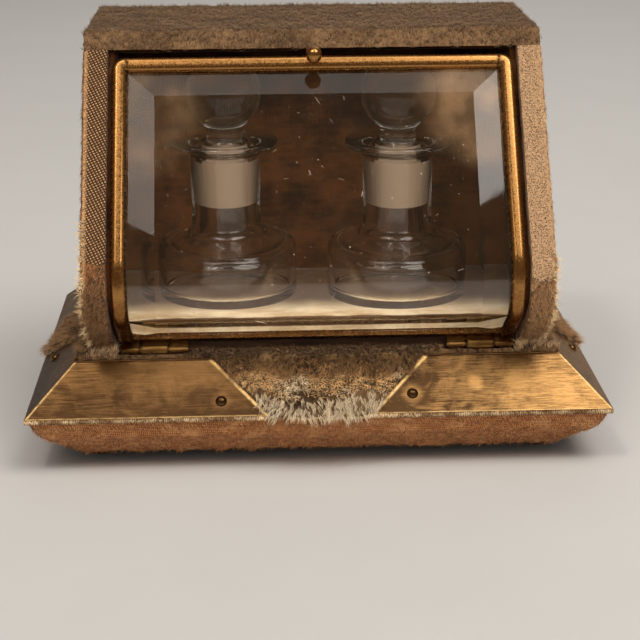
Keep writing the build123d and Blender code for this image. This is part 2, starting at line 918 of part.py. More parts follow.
def fixed_leaf(word, side):
    """Makes the hinge leaf that is nailed to the plinth, with its middle knuckle."""
    centre = side * hinge_x
    near_wide = hinge_y + knuckle_radius + leaf_clearance
    with BuildPart() as leaf:
        with BuildSketch(Plane.XY.offset(ridge_z)):
            with Locations((centre, hinge_y)):
                Rectangle(middle_knuckle, leaf_reach, align=(Align.CENTER, Align.MIN))
            with Locations((centre, near_wide)):
                Rectangle(
                    2 * hinge_half_length,
                    hinge_y + leaf_reach - near_wide,
                    align=(Align.CENTER, Align.MIN),
                )
        extrude(amount=leaf_thickness)
        add(knuckle(centre, middle_knuckle, pintle_radius))
        with BuildSketch(Plane.YZ.offset(centre)):
            with Locations((hinge_y, hinge_z)):
                Circle(pintle_radius)
        extrude(amount=hinge_half_length, both=True, mode=Mode.SUBTRACT)
        with Locations(*nail_places):
            add(nail_hole.part, mode=Mode.SUBTRACT)
    leaf.part.label = "hinge_fixed_leaf_" + word
    return leaf.part


def door_leaf(word, side):
    """Makes the hinge leaf under the door's foot, with its two outer knuckles."""
    centre = side * hinge_x
    reach = hinge_drop + frame_depth
    tangent = hinge_axis - low_way * knuckle_radius
    bore = pintle_radius + pintle_fit
    with BuildPart() as leaf:
        with BuildSketch(Plane.YZ.offset(centre - hinge_half_length)):
            with BuildLine():
                Polyline(
                    tangent,
                    tangent + low_in * reach,
                    tangent + low_in * reach + low_way * leaf_thickness,
                    tangent + low_way * leaf_thickness,
                    close=True,
                )
            make_face()
        extrude(amount=2 * hinge_half_length)
        for end in (-1, 1):
            add(knuckle(centre + end * (hinge_half_length - outer_knuckle / 2), outer_knuckle, bore))
        with BuildSketch(Plane.YZ.offset(centre)):
            with Locations((hinge_y, hinge_z)):
                Circle(knuckle_radius + leaf_clearance)
        extrude(amount=middle_knuckle / 2 + knuckle_gap, both=True, mode=Mode.SUBTRACT)
        with BuildSketch(Plane.YZ.offset(centre)):
            with Locations((hinge_y, hinge_z)):
                Circle(bore)
        extrude(amount=hinge_half_length, both=True, mode=Mode.SUBTRACT)
    leaf.part.label = "hinge_door_leaf_" + word
    return leaf.part


def hinge_pin(word, side):
    """Makes the pin of one hinge, a little longer than its knuckles."""
    with BuildPart() as pin:
        with BuildSketch(Plane.YZ.offset(side * hinge_x)):
            with Locations((hinge_y, hinge_z)):
                Circle(pintle_radius)
        extrude(amount=hinge_half_length + pintle_overhang, both=True)
        fillet(pin.edges().filter_by(GeomType.CIRCLE), pintle_radius / 2)
    pin.part.label = "hinge_pin_" + word
    return pin.part


def tapered_radius(height):
    """Gives the radius of the ground bore at a height above the bottle's foot."""
    share = (height - plug_low_height) / (plug_top_height - plug_low_height)
    return bore_low_radius + (bore_top_radius - bore_low_radius) * share


with BuildPart() as blown_bottle:
    with BuildSketch(Plane.XZ):
        with BuildLine():
            inner_radius = bottle_radius - bottle_wall
            shoulder_start = (bottle_radius - bottle_shoulder_round, bottle_shoulder_height)
            shoulder_end = (neck_radius + neck_flare, bottle_shoulder_height + shoulder_rise)
            rim_radius = mouth_thickness / 2
            rim_start = (mouth_radius - rim_radius, bottle_height - mouth_thickness)
            inner_top = bottle_shoulder_height - bottle_wall
            Line((0, 0), (bottle_radius - bottle_heel_round, 0))
            RadiusArc(
                (bottle_radius - bottle_heel_round, 0),
                (bottle_radius, bottle_heel_round),
                -bottle_heel_round,
            )
            Line(
                (bottle_radius, bottle_heel_round),
                (bottle_radius, bottle_shoulder_height - bottle_shoulder_round),
            )
            RadiusArc(
                (bottle_radius, bottle_shoulder_height - bottle_shoulder_round),
                shoulder_start,
                -bottle_shoulder_round,
            )
            Line(shoulder_start, shoulder_end)
            RadiusArc(shoulder_end, (neck_radius, neck_foot_height), neck_flare)
            Line((neck_radius, neck_foot_height), (neck_radius, neck_top_height))
            RadiusArc((neck_radius, neck_top_height), rim_start, neck_flare + mouth_bevel)
            ThreePointArc(
                rim_start,
                (mouth_radius, bottle_height - rim_radius),
                (mouth_radius - rim_radius, bottle_height),
            )
            Polyline(
                (mouth_radius - rim_radius, bottle_height),
                (bore_top_radius + mouth_bevel, bottle_height),
                (bore_top_radius, bottle_height - mouth_bevel),
                (bore_top_radius, plug_top_height),
                (bore_low_radius, plug_low_height),
                (bore_low_radius, plug_low_height - bottle_wall),
            )
            ThreePointArc(
                (bore_low_radius, plug_low_height - bottle_wall),
                (bore_low_radius + neck_flare, inner_top + neck_flare / 2),
                (inner_radius - bottle_shoulder_round, inner_top),
            )
            RadiusArc(
                (inner_radius - bottle_shoulder_round, inner_top),
                (inner_radius, inner_top - bottle_shoulder_round),
                bottle_shoulder_round,
            )
            Line(
                (inner_radius, inner_top - bottle_shoulder_round),
                (inner_radius, bottle_base + bottle_heel_round),
            )
            RadiusArc(
                (inner_radius, bottle_base + bottle_heel_round),
                (inner_radius - bottle_heel_round, bottle_base),
                bottle_heel_round,
            )
            Polyline((inner_radius - bottle_heel_round, bottle_base), (0, bottle_base), (0, 0))
        make_face()
    revolve(axis=Axis.Z)

with BuildPart() as ground_stopper:
    with BuildSketch(Plane.XZ):
        with BuildLine():
            low_radius = tapered_radius(plug_low_height) - plug_fit
            top_radius = tapered_radius(plug_top_height) - plug_fit
            ball_foot = ball_centre_height - sqrt(ball_radius**2 - stopper_neck_radius**2)
            lower_across = (ball_radius + stopper_neck_radius) / 2
            lower_height = ball_centre_height - sqrt(ball_radius**2 - lower_across**2)
            Polyline(
                (0, ball_centre_height + ball_rise),
                (0, plug_low_height),
                (low_radius - plug_round, plug_low_height),
                (low_radius, plug_low_height + plug_round),
                (top_radius, plug_top_height),
                (stopper_neck_radius, plug_top_height + plug_shoulder),
                (stopper_neck_radius, ball_foot),
            )
            ThreePointArc(
                (stopper_neck_radius, ball_foot),
                (lower_across, lower_height),
                (ball_radius, ball_centre_height),
            )
            round_across = ball_radius - ball_shoulder_round
            round_up = ball_rise - ball_shoulder_round
            dome_drop = (round_across**2 - round_up**2) / (2 * round_up)
            dome_radius = ball_rise + dome_drop
            dome_way = Vector(round_across, dome_drop).normalized()
            dome_edge = (
                dome_way.X * dome_radius,
                ball_centre_height - dome_drop + dome_way.Y * dome_radius,
            )
            RadiusArc((ball_radius, ball_centre_height), dome_edge, -ball_shoulder_round)
            RadiusArc(dome_edge, (0, ball_centre_height + ball_rise), -dome_radius)
        make_face()
    revolve(axis=Axis.Z)


def placed(name, blank, place):
    """Stands a piece that was made on the origin at its place."""
    with BuildPart() as piece:
        with Locations(place):
            add(blank)
    piece.part.label = name
    return piece.part


plate_pins.part.label = "plate_pins"
hinge_nails.part.label = "hinge_nails"
pieces = [
    rail_cloth.part,
    selvedge.part,
    bottom_board.part,
    base_sheet.part,
    plate_pins.part,
    hinge_nails.part,
    front_plush.part,
    back_plush_patch,
    *side_plush_patches,
    *side_boards,
    *side_covers,
    *side_linings,
    back_board,
    back_cover,
    back_lining,
    floor_board.part,
    floor_pad.part,
    top_board.part,
    top_cover.part,
    roof_lining.part,
    catch_clip.part,
    catch_stud.part,
    door_knob.part,
    door_frame.part,
    pane_strip.part,
    door_pane.part,
    mitred_rail("rail_front", -1, True),
    mitred_rail("rail_back", 1, True),
    mitred_rail("rail_left", -1, False),
    mitred_rail("rail_right", 1, False),
    placed("bottle_left", blown_bottle.part, (*left_bottle_place, bottle_foot_z)),
    placed("stopper_left", ground_stopper.part, (*left_bottle_place, bottle_foot_z)),
    placed("bottle_right", blown_bottle.part, (*right_bottle_place, bottle_foot_z)),
    placed("stopper_right", ground_stopper.part, (*right_bottle_place, bottle_foot_z)),
]
for word, side in (("left", -1), ("right", 1)):
    pieces += [fixed_leaf(word, side), door_leaf(word, side), hinge_pin(word, side)]
for word, (x_sign, y_sign) in corners.items():
    pieces.append(corner_plate("corner_plate_" + word, x_sign, y_sign))
    pieces.append(placed("foot_" + word, foot_turning.part, (*foot_places[word], 0)))

for piece in pieces:
    export_step(piece, "parts/" + piece.label + ".step")
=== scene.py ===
"""The looks of a plush-covered scent casket: worn pile, aged brass, bevelled glass and clear bottles.

Metres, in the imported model's frame: +Z is up, -Y is out of the glass door and +X is to the right.
"""

import logging
import math
import random
from dataclasses import dataclass, field
from enum import Enum
from typing import Callable, Iterable, Optional, Sequence, Union

import bmesh
import bpy
from mathutils import Matrix, Vector, noise


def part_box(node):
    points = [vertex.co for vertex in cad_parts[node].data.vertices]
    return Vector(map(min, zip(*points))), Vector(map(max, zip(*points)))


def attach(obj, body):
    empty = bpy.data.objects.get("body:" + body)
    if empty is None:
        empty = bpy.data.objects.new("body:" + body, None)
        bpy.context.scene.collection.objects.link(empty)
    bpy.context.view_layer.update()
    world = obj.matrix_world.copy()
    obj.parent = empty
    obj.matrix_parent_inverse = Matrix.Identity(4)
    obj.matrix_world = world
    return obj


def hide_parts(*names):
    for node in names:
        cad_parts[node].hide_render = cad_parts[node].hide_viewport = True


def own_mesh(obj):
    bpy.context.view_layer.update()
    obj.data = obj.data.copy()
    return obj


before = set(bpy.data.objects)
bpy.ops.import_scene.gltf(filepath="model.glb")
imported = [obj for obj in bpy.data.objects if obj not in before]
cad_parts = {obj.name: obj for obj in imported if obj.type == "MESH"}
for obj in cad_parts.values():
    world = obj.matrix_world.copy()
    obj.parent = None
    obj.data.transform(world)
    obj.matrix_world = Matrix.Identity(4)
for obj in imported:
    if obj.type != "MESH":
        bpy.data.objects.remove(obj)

Colour = tuple[float, float, float]
Point = tuple[float, float, float]
Value = Union[float, bpy.types.NodeSocket]

MM = 0.001
WELD = 1e-6
UP = Vector((0, 0, 1))

log = logging.getLogger("casket")


class Body(Enum):
    """The moving bodies of the casket."""

    CASKET = "casket"
    DOOR = "door"
    LEFT_BOTTLE = "left_bottle"
    RIGHT_BOTTLE = "right_bottle"
    LEFT_STOPPER = "left_stopper"
    RIGHT_STOPPER = "right_stopper"


def paint(red: int, green: int, blue: int) -> Colour:
    """Turns a colour as it looks on a screen, 0 to 255, into the light that a shader wants.

    Args:
        red: The red part.
        green: The green part.
        blue: The blue part.

    Returns:
        The three linear parts.
    """
    parts = []
    for part in (red / 255, green / 255, blue / 255):
        parts.append(part / 12.92 if part <= 0.04045 else ((part + 0.055) / 1.055) ** 2.4)
    return (parts[0], parts[1], parts[2])


class Shader:
    """One node material, written step by step, with its patterns on Object coordinates in millimetres."""

    def __init__(self, name: str, **sockets: Value) -> None:
        """Starts a material.

        Args:
            name: The material's name.
            sockets: Values of the surface shader, with underscores for spaces.
        """
        self.material = bpy.data.materials.new(name)
        self.material.use_nodes = True
        self.tree = self.material.node_tree
        self.tree.nodes.clear()
        self.output = self.node("ShaderNodeOutputMaterial")
        self.surface = self.node("ShaderNodeBsdfPrincipled")
        self.tree.links.new(self.surface.outputs[0], self.output.inputs["Surface"])
        self.dress(**sockets)

    def node(self, kind: str, **settings: object) -> bpy.types.Node:
        """Adds a node and sets its options."""
        node = self.tree.nodes.new(kind)
        for name, value in settings.items():
            setattr(node, name, value)
        return node

    def feed(self, socket: bpy.types.NodeSocket, value: Union[Value, Sequence[float]]) -> None:
        """Gives a socket a link or a constant, whichever the value is."""
        if isinstance(value, bpy.types.NodeSocket):
            self.tree.links.new(value, socket)
        elif socket.type == "RGBA" and len(value) == 3:
            socket.default_value = (*value, 1.0)
        else:
            socket.default_value = value

    def dress(self, **sockets: Union[Value, Sequence[float]]) -> None:
        """Sets sockets of the surface shader by their names, with underscores for spaces."""
        for name, value in sockets.items():
            self.feed(self.surface.inputs[name.replace("_", " ")], value)

    def place(self, stretch: Point = (1, 1, 1), turn: Point = (0, 0, 0)) -> bpy.types.NodeSocket:
        """Gives Object coordinates in millimetres, turned in degrees and then stretched."""
        vector = self.node("ShaderNodeTexCoord").outputs["Object"]
        if any(turn):
            turned = self.node("ShaderNodeMapping", vector_type="POINT")
            self.feed(turned.inputs["Vector"], vector)
            turned.inputs["Rotation"].default_value = [math.radians(angle) for angle in turn]
            vector = turned.outputs["Vector"]
        scaled = self.node("ShaderNodeMapping", vector_type="POINT")
        self.feed(scaled.inputs["Vector"], vector)
        scaled.inputs["Scale"].default_value = [part / MM for part in stretch]
        return scaled.outputs["Vector"]

    def along(self, way: Point) -> bpy.types.NodeSocket:
        """Gives coordinates in millimetres whose X runs along a way."""
        plain = self.place()
        run = self.node("ShaderNodeVectorMath", operation="DOT_PRODUCT")
        self.feed(run.inputs[0], plain)
        run.inputs[1].default_value = way
        split = self.node("ShaderNodeSeparateXYZ")
        self.feed(split.inputs[0], plain)
        joined = self.node("ShaderNodeCombineXYZ")
        self.feed(joined.inputs[0], run.outputs["Value"])
        self.feed(joined.inputs[1], split.outputs["Y"])
        self.feed(joined.inputs[2], split.outputs["Z"])
        return joined.outputs[0]

    def axis(self, letter: str) -> bpy.types.NodeSocket:
        """Gives one Object coordinate in millimetres."""
        split = self.node("ShaderNodeSeparateXYZ")
        self.feed(split.inputs[0], self.place())
        return split.outputs[letter]

    def noise(
        self,
        scale: float,
        vector: Optional[bpy.types.NodeSocket] = None,
        detail: float = 3.0,
        rough: float = 0.55,
        warp: float = 0.0,
    ) -> bpy.types.NodeSocket:
        """Adds a cloudy noise.

        Args:
            scale: Features to the millimetre.
            vector: The coordinates, or None for plain ones.
            detail: How many finer layers it has.
            rough: How strong the finer layers are.
            warp: How much it is twisted.

        Returns:
            A value round a half.
        """
        node = self.node("ShaderNodeTexNoise", noise_dimensions="3D")
        self.feed(node.inputs["Vector"], vector or self.place())
        node.inputs["Scale"].default_value = scale
        node.inputs["Detail"].default_value = detail
        node.inputs["Roughness"].default_value = rough
        node.inputs["Distortion"].default_value = warp
        return node.outputs[0]

    def cells(
        self, scale: float, vector: Optional[bpy.types.NodeSocket] = None, loose: float = 1.0
    ) -> bpy.types.NodeSocket:
        """Gives the distance to the nearest of many scattered points."""
        node = self.node("ShaderNodeTexVoronoi", feature="F1")
        self.feed(node.inputs["Vector"], vector or self.place())
        node.inputs["Scale"].default_value = scale
        node.inputs["Randomness"].default_value = loose
        return node.outputs["Distance"]

    def ribs(self, pitch: float, vector: bpy.types.NodeSocket, warp: float = 0.0) -> bpy.types.NodeSocket:
        """Gives ribs across the vector's X, a pitch in millimetres apart."""
        node = self.node("ShaderNodeTexWave", wave_type="BANDS", bands_direction="X", wave_profile="SIN")
        self.feed(node.inputs["Vector"], vector)
        node.inputs["Scale"].default_value = 2 * math.pi / 20 / pitch
        node.inputs["Distortion"].default_value = warp
        node.inputs["Detail"].default_value = 2.0
        node.inputs["Detail Scale"].default_value = 1.5
        return node.outputs["Fac"]

    def span(
        self, value: Value, low: float, high: float, start: float = 0.0, end: float = 1.0
    ) -> bpy.types.NodeSocket:
        """Runs smoothly from start to end as the value runs from low to high."""
        node = self.node("ShaderNodeMapRange", interpolation_type="SMOOTHSTEP")
        for place, part in enumerate((value, low, high, start, end)):
            self.feed(node.inputs[place], part)
        return node.outputs[0]

    def sum(self, way: str, first: Value, second: Value = 0.0, clamp: bool = False) -> bpy.types.NodeSocket:
        """Works out one sum, such as MULTIPLY, of two values."""
        node = self.node("ShaderNodeMath", operation=way, use_clamp=clamp)
        self.feed(node.inputs[0], first)
        self.feed(node.inputs[1], second)
        return node.outputs[0]

    def plus(self, first: Value, second: Value, clamp: bool = False) -> bpy.types.NodeSocket:
        """Adds two values."""
        return self.sum("ADD", first, second, clamp)

    def minus(self, first: Value, second: Value, clamp: bool = False) -> bpy.types.NodeSocket:
        """Takes the second value from the first."""
        return self.sum("SUBTRACT", first, second, clamp)

    def times(self, first: Value, second: Value) -> bpy.types.NodeSocket:
        """Multiplies two values."""
        return self.sum("MULTIPLY", first, second)

    def unsigned(self, value: Value) -> bpy.types.NodeSocket:
        """Drops a value's sign."""
        return self.sum("ABSOLUTE", value)

    def weighed(self, first: Value, share: float, second: Value, rest: float) -> bpy.types.NodeSocket:
        """Adds two values, each by its own weight."""
        return self.plus(self.times(first, share), self.times(second, rest))

    def blend(
        self,
        share: Value,
        first: Union[Colour, bpy.types.NodeSocket],
        second: Union[Colour, bpy.types.NodeSocket],
        way: str = "MIX",
    ) -> bpy.types.NodeSocket:
        """Mixes two colours by a share."""
        node = self.node("ShaderNodeMix", data_type="RGBA", blend_type=way)
        self.feed(node.inputs[0], share)
        self.feed(node.inputs[6], first)
        self.feed(node.inputs[7], second)
        return node.outputs[2]

    def near(self, point: Point, inner: float, outer: float) -> bpy.types.NodeSocket:
        """Gives 1 within an inner radius of a point in millimetres, and 0 past an outer one."""
        node = self.node("ShaderNodeVectorMath", operation="DISTANCE")
        self.feed(node.inputs[0], self.place())
        node.inputs[1].default_value = point
        return self.span(node.outputs["Value"], inner, outer, 1.0, 0.0)

    def attribute(self, name: str) -> bpy.types.NodeSocket:
        """Reads one of the mesh's own values."""
        return self.node("ShaderNodeAttribute", attribute_name=name).outputs["Fac"]

    def relief(
        self, height: Value, depth: float, strength: float = 1.0, over: Optional[bpy.types.NodeSocket] = None
    ) -> bpy.types.NodeSocket:
        """Raises the surface by a height, to a depth in millimetres, and gives the normal."""
        node = self.node("ShaderNodeBump")
        node.inputs["Strength"].default_value = strength
        node.inputs["Distance"].default_value = depth * MM
        self.feed(node.inputs["Height"], height)
        if over is not None:
            self.feed(node.inputs["Normal"], over)
        return node.outputs[0]


@dataclass(frozen=True)
class PlateFolds:
    """Where the corner plates are rubbed bright: the fold at the lip, the mitre and the slanted ends."""

    lip_level: float = 18.6
    rise: float = 13.0
    half_width: float = 88.5
    half_depth: float = 57.5
    end_low: float = 16.1
    end_lean: float = 17.2

    def wear(self, shader: Shader) -> bpy.types.NodeSocket:
        """Gives 1 along the rubbed edges."""
        level = shader.minus(shader.axis("Z"), self.lip_level)
        wide = shader.unsigned(shader.axis("X"))
        deep = shader.unsigned(shader.axis("Y"))
        end = shader.plus(shader.times(level, self.end_lean / self.rise), self.end_low)
        mitre = shader.minus(shader.minus(wide, deep), self.half_width - self.half_depth)
        worn = shader.span(shader.unsigned(level), 0.05, 0.4, 0.6, 0.0)
        for gap in (shader.minus(wide, end), mitre):
            line = shader.span(shader.unsigned(gap), 0.1, 1.1, 1.0, 0.0)
            worn = shader.sum("MAXIMUM", worn, line)
        rubbed = shader.span(shader.noise(0.5, None, 4.0, 0.6), 0.3, 0.55, 0.35, 1.0)
        return shader.times(worn, rubbed)


@dataclass(frozen=True)
class AgedBrass:
    """Brass that was polished once, with a brown tarnish, fine streaks and pale spots."""

    name: str
    bright: Colour = paint(214, 168, 98)
    tarnish: Colour = paint(136, 92, 44)
    grime: Colour = paint(46, 30, 16)
    gloss: tuple[float, float] = (0.16, 0.34)
    streaks: Point = (0.08, 1.0, 1.0)
    tarnish_share: float = 0.5
    halos: tuple[tuple[Point, float], ...] = ()
    dirt: float = 0.3
    darkening_ramp: Optional[tuple[str, float, float]] = None
    folds: Optional["PlateFolds"] = None
    seams: tuple[float, ...] = ()
    dents: float = 0.12

    def material(self) -> bpy.types.Material:
        """Builds the brass."""
        shader = Shader(self.name, Metallic=1.0)
        drawn = shader.place(self.streaks)
        lines = shader.noise(2.4, drawn, 6.0, 0.7)
        cloud = shader.noise(0.12, None, 5.0, 0.65, 0.6)
        middle = 1.0 - self.tarnish_share
        share = shader.span(shader.weighed(lines, 0.42, cloud, 0.58), middle - 0.2, middle + 0.2)
        # Darkens the brass along one axis between two levels. On the door frame this is painted shade: the
        # darker reflection below the bend.
        if self.darkening_ramp:
            letter, light_end, aged = self.darkening_ramp
            ramp_share = shader.span(shader.axis(letter), light_end, aged, -0.35, 0.55)
            share = shader.plus(share, ramp_share, True)
        for point, radius in self.halos:
            ring = shader.near(point, radius * 0.25, radius)
            share = shader.minus(share, shader.times(ring, 0.6), True)
        colour = shader.blend(share, self.bright, self.tarnish)
        specks = shader.span(shader.noise(2.6, None, 4.0, 0.7), 0.56, 0.72)
        speck_share = shader.times(specks, self.dirt)
        for place in self.seams:
            across = shader.unsigned(shader.axis("X"))
            gap = shader.unsigned(shader.minus(across, place))
            patchy = shader.span(shader.noise(0.9), 0.36, 0.55)
            line = shader.times(shader.span(gap, 0.1, 1.1, 1.0, 0.0), patchy)
            speck_share = shader.sum("MAXIMUM", speck_share, shader.times(line, 0.9))
        colour = shader.blend(speck_share, colour, self.grime)
        rough = shader.span(lines, 0.35, 0.68, *self.gloss)
        if self.folds:
            worn = self.folds.wear(shader)
            colour = shader.blend(shader.times(worn, 0.8), colour, paint(236, 196, 132))
        shader.dress(
            Base_Color=colour,
            Roughness=shader.plus(rough, shader.times(speck_share, 0.3)),
            Normal=shader.relief(
                shader.noise(0.22, None, 2.0),
                self.dents,
                0.35,
                shader.relief(lines, 0.012, 0.35),
            ),
        )
        return shader.material


@dataclass(frozen=True)
class Pile:
    """Hairs of a worn mohair pile, dark at the root and sun-bleached at the tip."""

    name: str
    root: Colour = paint(44, 29, 17)
    middle: Colour = paint(150, 116, 76)
    tip: Colour = paint(206, 180, 140)
    bleached: Colour = paint(212, 196, 172)
    bleach_levels: tuple[float, float] = (25.0, 20.5)
    dark_levels: tuple[float, float] = (26.5, 31.5)
    darkening: float = 0.5
    pale_spots: tuple[tuple[Point, float], ...] = ()

    def material(self) -> bpy.types.Material:
        """Builds the hair's material."""
        shader = Shader(
            self.name, Roughness=0.62, Sheen_Weight=0.04, Sheen_Roughness=0.4, Specular_IOR_Level=0.25
        )
        along = shader.attribute("along")
        tone = shader.attribute("tone")
        cloud = shader.minus(shader.noise(0.16, None, 3.0, 0.55), 0.5)
        level = shader.plus(shader.axis("Z"), shader.times(cloud, 14.0))
        colour = shader.blend(shader.span(along, 0.0, 0.36), self.root, self.middle)
        colour = shader.blend(shader.span(along, 0.45, 1.0), colour, self.tip)
        bleach = shader.times(
            shader.span(level, *self.bleach_levels), shader.span(along, 0.05, 0.6, 0.35, 1.0)
        )
        # Darker towards dark_levels; on the front crest this is partly painted shade between the upright
        # locks.
        shade = shader.times(shader.span(level, *self.dark_levels), self.darkening)
        colour = shader.blend(shade, colour, self.root)
        for point, radius in self.pale_spots:
            spot = shader.near(point, radius * 0.4, radius)
            faded = shader.times(spot, shader.span(along, 0.0, 0.5, 0.4, 1.0))
            bleach = shader.sum("MAXIMUM", bleach, faded)
        colour = shader.blend(bleach, colour, self.bleached)
        colour = shader.blend(1.0, colour, self.shade_of(shader, tone), "MULTIPLY")
        shader.dress(Base_Color=colour)
        return shader.material

    @staticmethod
    def shade_of(shader: Shader, tone: bpy.types.NodeSocket) -> bpy.types.NodeSocket:
        """Makes single hairs lighter or darker."""
        return shader.blend(tone, (0.68, 0.62, 0.55), (1.15, 1.1, 1.04))


@dataclass(frozen=True)
class Felt:
    """The backing that a pile stands in, or the felted fibre that is left where it has worn off."""

    name: str
    dark: Colour = paint(52, 36, 22)
    light: Colour = paint(128, 98, 66)
    grain: float = 1.2
    depth: float = 0.35

    def material(self) -> bpy.types.Material:
        """Builds the felt."""
        shader = Shader(
            self.name, Roughness=0.9, Sheen_Weight=0.03, Sheen_Roughness=0.5, Specular_IOR_Level=0.15
        )
        fibres = shader.noise(self.grain, shader.place((1, 1, 0.35)), 6.0, 0.7, 1.2)
        cloud = shader.noise(0.1, None, 3.0)
        share = shader.weighed(fibres, 0.6, cloud, 0.4)
        shader.dress(
            Base_Color=shader.blend(shader.span(share, 0.36, 0.64), self.dark, self.light),
            Normal=shader.relief(fibres, self.depth, 0.9),
        )
        return shader.material


@dataclass(frozen=True)
class GroundWeave:
    """A ground cloth of fine crossed threads with remnants of its pile."""

    name: str
    thread: Colour = paint(196, 150, 112)
    hollow: Colour = paint(104, 66, 42)
    nap: Colour = paint(206, 180, 150)
    pitch: float = 0.62
    nap_share: float = 0.4
    depth: float = 0.18
    stitches: Optional[tuple[float, float]] = None

    def material(self) -> bpy.types.Material:
        """Builds the woven ground."""
        shader = Shader(
            self.name, Roughness=0.88, Sheen_Weight=0.04, Sheen_Roughness=0.5, Specular_IOR_Level=0.15
        )
        warp = shader.ribs(self.pitch, shader.along((1, 1, 0)), 1.2)
        weft = shader.ribs(self.pitch, shader.along((0, 0, 1)), 1.2)
        weave = shader.times(warp, weft)
        fuzz = shader.noise(1.4, shader.place((1, 1, 0.45)), 6.0, 0.68, 0.8)
        colour = shader.blend(shader.span(weave, 0.05, 0.75), self.hollow, self.thread)
        cloud = shader.noise(0.14, shader.place((1, 1, 1.8)), 4.0, 0.6)
        colour = shader.blend(
            shader.times(shader.span(cloud, 0.42, 0.66), self.nap_share), colour, self.nap
        )
        colour = shader.blend(shader.span(fuzz, 0.52, 0.3, 0.0, 0.55), colour, self.hollow)
        if self.stitches:
            low, high = self.stitches
            level = shader.plus(shader.axis("Z"), shader.times(shader.noise(0.3), 1.2))
            row = shader.times(shader.span(level, low, low + 0.5), shader.span(level, high, high - 0.5))
            marks = shader.span(shader.ribs(1.15, shader.along((1, 1, 0.7)), 1.0), 0.62, 0.9)
            kept = shader.span(shader.noise(0.12), 0.4, 0.55, 0.2, 0.9)
            stitched = shader.times(shader.times(row, marks), kept)
            colour = shader.blend(stitched, colour, self.hollow)
        shader.dress(
            Base_Color=colour,
            Normal=shader.relief(
                fuzz,
                0.3,
                0.7,
                shader.relief(weave, self.depth, 0.8),
            ),
        )
        return shader.material


class StripWeave(Enum):
    """How the bare weave on a strip looks."""

    LATTICE = "glints in a slanting lattice"
    GRAIN = "pale grains with dark pits"


@dataclass(frozen=True)
class WornStrip:
    """The worn front edge of a side cover: weave above, and felted brown pile below a level."""

    name: str
    weave: StripWeave
    light: Colour
    dark: Colour
    felt_light: Colour
    felt_dark: Colour
    level: float
    side: float

    def glints(self, shader: Shader, fuzz: bpy.types.NodeSocket) -> bpy.types.NodeSocket:
        """Gives how far the pale threads stand out of the dark ground."""
        if self.weave is StripWeave.GRAIN:
            pits = shader.cells(2.3, shader.place((1.0, 0.75, 0.85)), 0.85)
            grain = shader.span(pits, 0.16, 0.5)
            return shader.times(grain, shader.span(fuzz, 0.3, 0.6, 0.55, 1.0))
        steep = shader.ribs(0.95, shader.along((0.9, 0.26, 0.36)), 0.7)
        flat = shader.ribs(0.8, shader.along((-0.42, 0.53, 0.73)), 0.7)
        crossed = shader.times(steep, flat)
        worn = shader.span(fuzz, 0.34, 0.6, 0.25, 1.0)
        return shader.times(shader.span(crossed, 0.2, 0.62), worn)

    def material(self) -> bpy.types.Material:
        """Builds the strip's weave, which gives way to worn pile on the sides of the case."""
        shader = Shader(
            self.name, Roughness=0.85, Sheen_Weight=0.05, Sheen_Roughness=0.5, Specular_IOR_Level=0.2
        )
        fuzz = shader.noise(1.8, None, 5.0, 0.7, 0.5)
        glint = self.glints(shader, fuzz)
        weave = shader.blend(glint, self.dark, self.light)
        felt = shader.blend(
            shader.span(shader.noise(1.1, shader.place((1, 1, 0.3)), 6.0, 0.72, 1.0), 0.38, 0.66),
            self.felt_dark,
            self.felt_light,
        )
        edge = shader.plus(shader.axis("Z"), shader.times(shader.noise(0.25), 9.0))
        colour = shader.blend(shader.span(edge, self.level + 3.0, self.level + 6.0), felt, weave)
        outward = shader.times(shader.axis("X"), self.side)
        rubbed = shader.span(fuzz, 0.4, 0.6, 0.2, 0.8)
        rubbed = shader.times(shader.span(outward, 68.2, 69.4), rubbed)
        colour = shader.blend(rubbed, colour, self.light)
        colour = shader.blend(shader.span(outward, 69.5, 70.0), colour, felt)
        shader.dress(
            Base_Color=colour,
            Normal=shader.relief(
                shader.plus(glint, shader.times(fuzz, 0.7)),
                0.22,
                0.85,
            ),
        )
        return shader.material


@dataclass(frozen=True)
class Thread:
    """Cream cotton thread, twisted and a little soiled."""

    name: str
    light: Colour = paint(222, 204, 172)
    dark: Colour = paint(128, 100, 70)
    pale_half: float = 17.0

    def material(self) -> bpy.types.Material:
        """Builds the thread, which is paler in the middle and darker under the brass corners: partly soil,
        partly painted shadow of the plates.
        """
        shader = Shader(
            self.name, Roughness=0.85, Sheen_Weight=0.05, Sheen_Roughness=0.5, Specular_IOR_Level=0.2
        )
        fibre = shader.noise(2.6, shader.place((1, 1, 0.4)), 5.0, 0.65)
        cloud = shader.noise(0.12, None, 3.0)
        share = shader.weighed(fibre, 0.4, cloud, 0.6)
        colour = shader.blend(shader.span(share, 0.4, 0.6), self.dark, self.light)
        off = shader.unsigned(shader.axis("X"))
        # The thread darkens under the corner plates: partly soil, partly painted shadow cast by the plates.
        soil_and_shade = shader.span(off, self.pale_half - 2.0, self.pale_half + 6.0, 0.0, 0.9)
        patchy = shader.span(shader.noise(0.45, None, 4.0, 0.7), 0.34, 0.6, 1.0, 0.45)
        soil_and_shade = shader.times(soil_and_shade, patchy)
        shader.dress(
            Base_Color=shader.blend(soil_and_shade, colour, self.dark),
            Normal=shader.relief(fibre, 0.12, 0.7),
        )
        return shader.material


@dataclass(frozen=True)
class PaintedShade:
    """Where a silk is painted brown as shade: before its front edge, and from a front line to a back one
    along Y.
    """

    edge: float
    front: float
    back: float
    brown: Colour


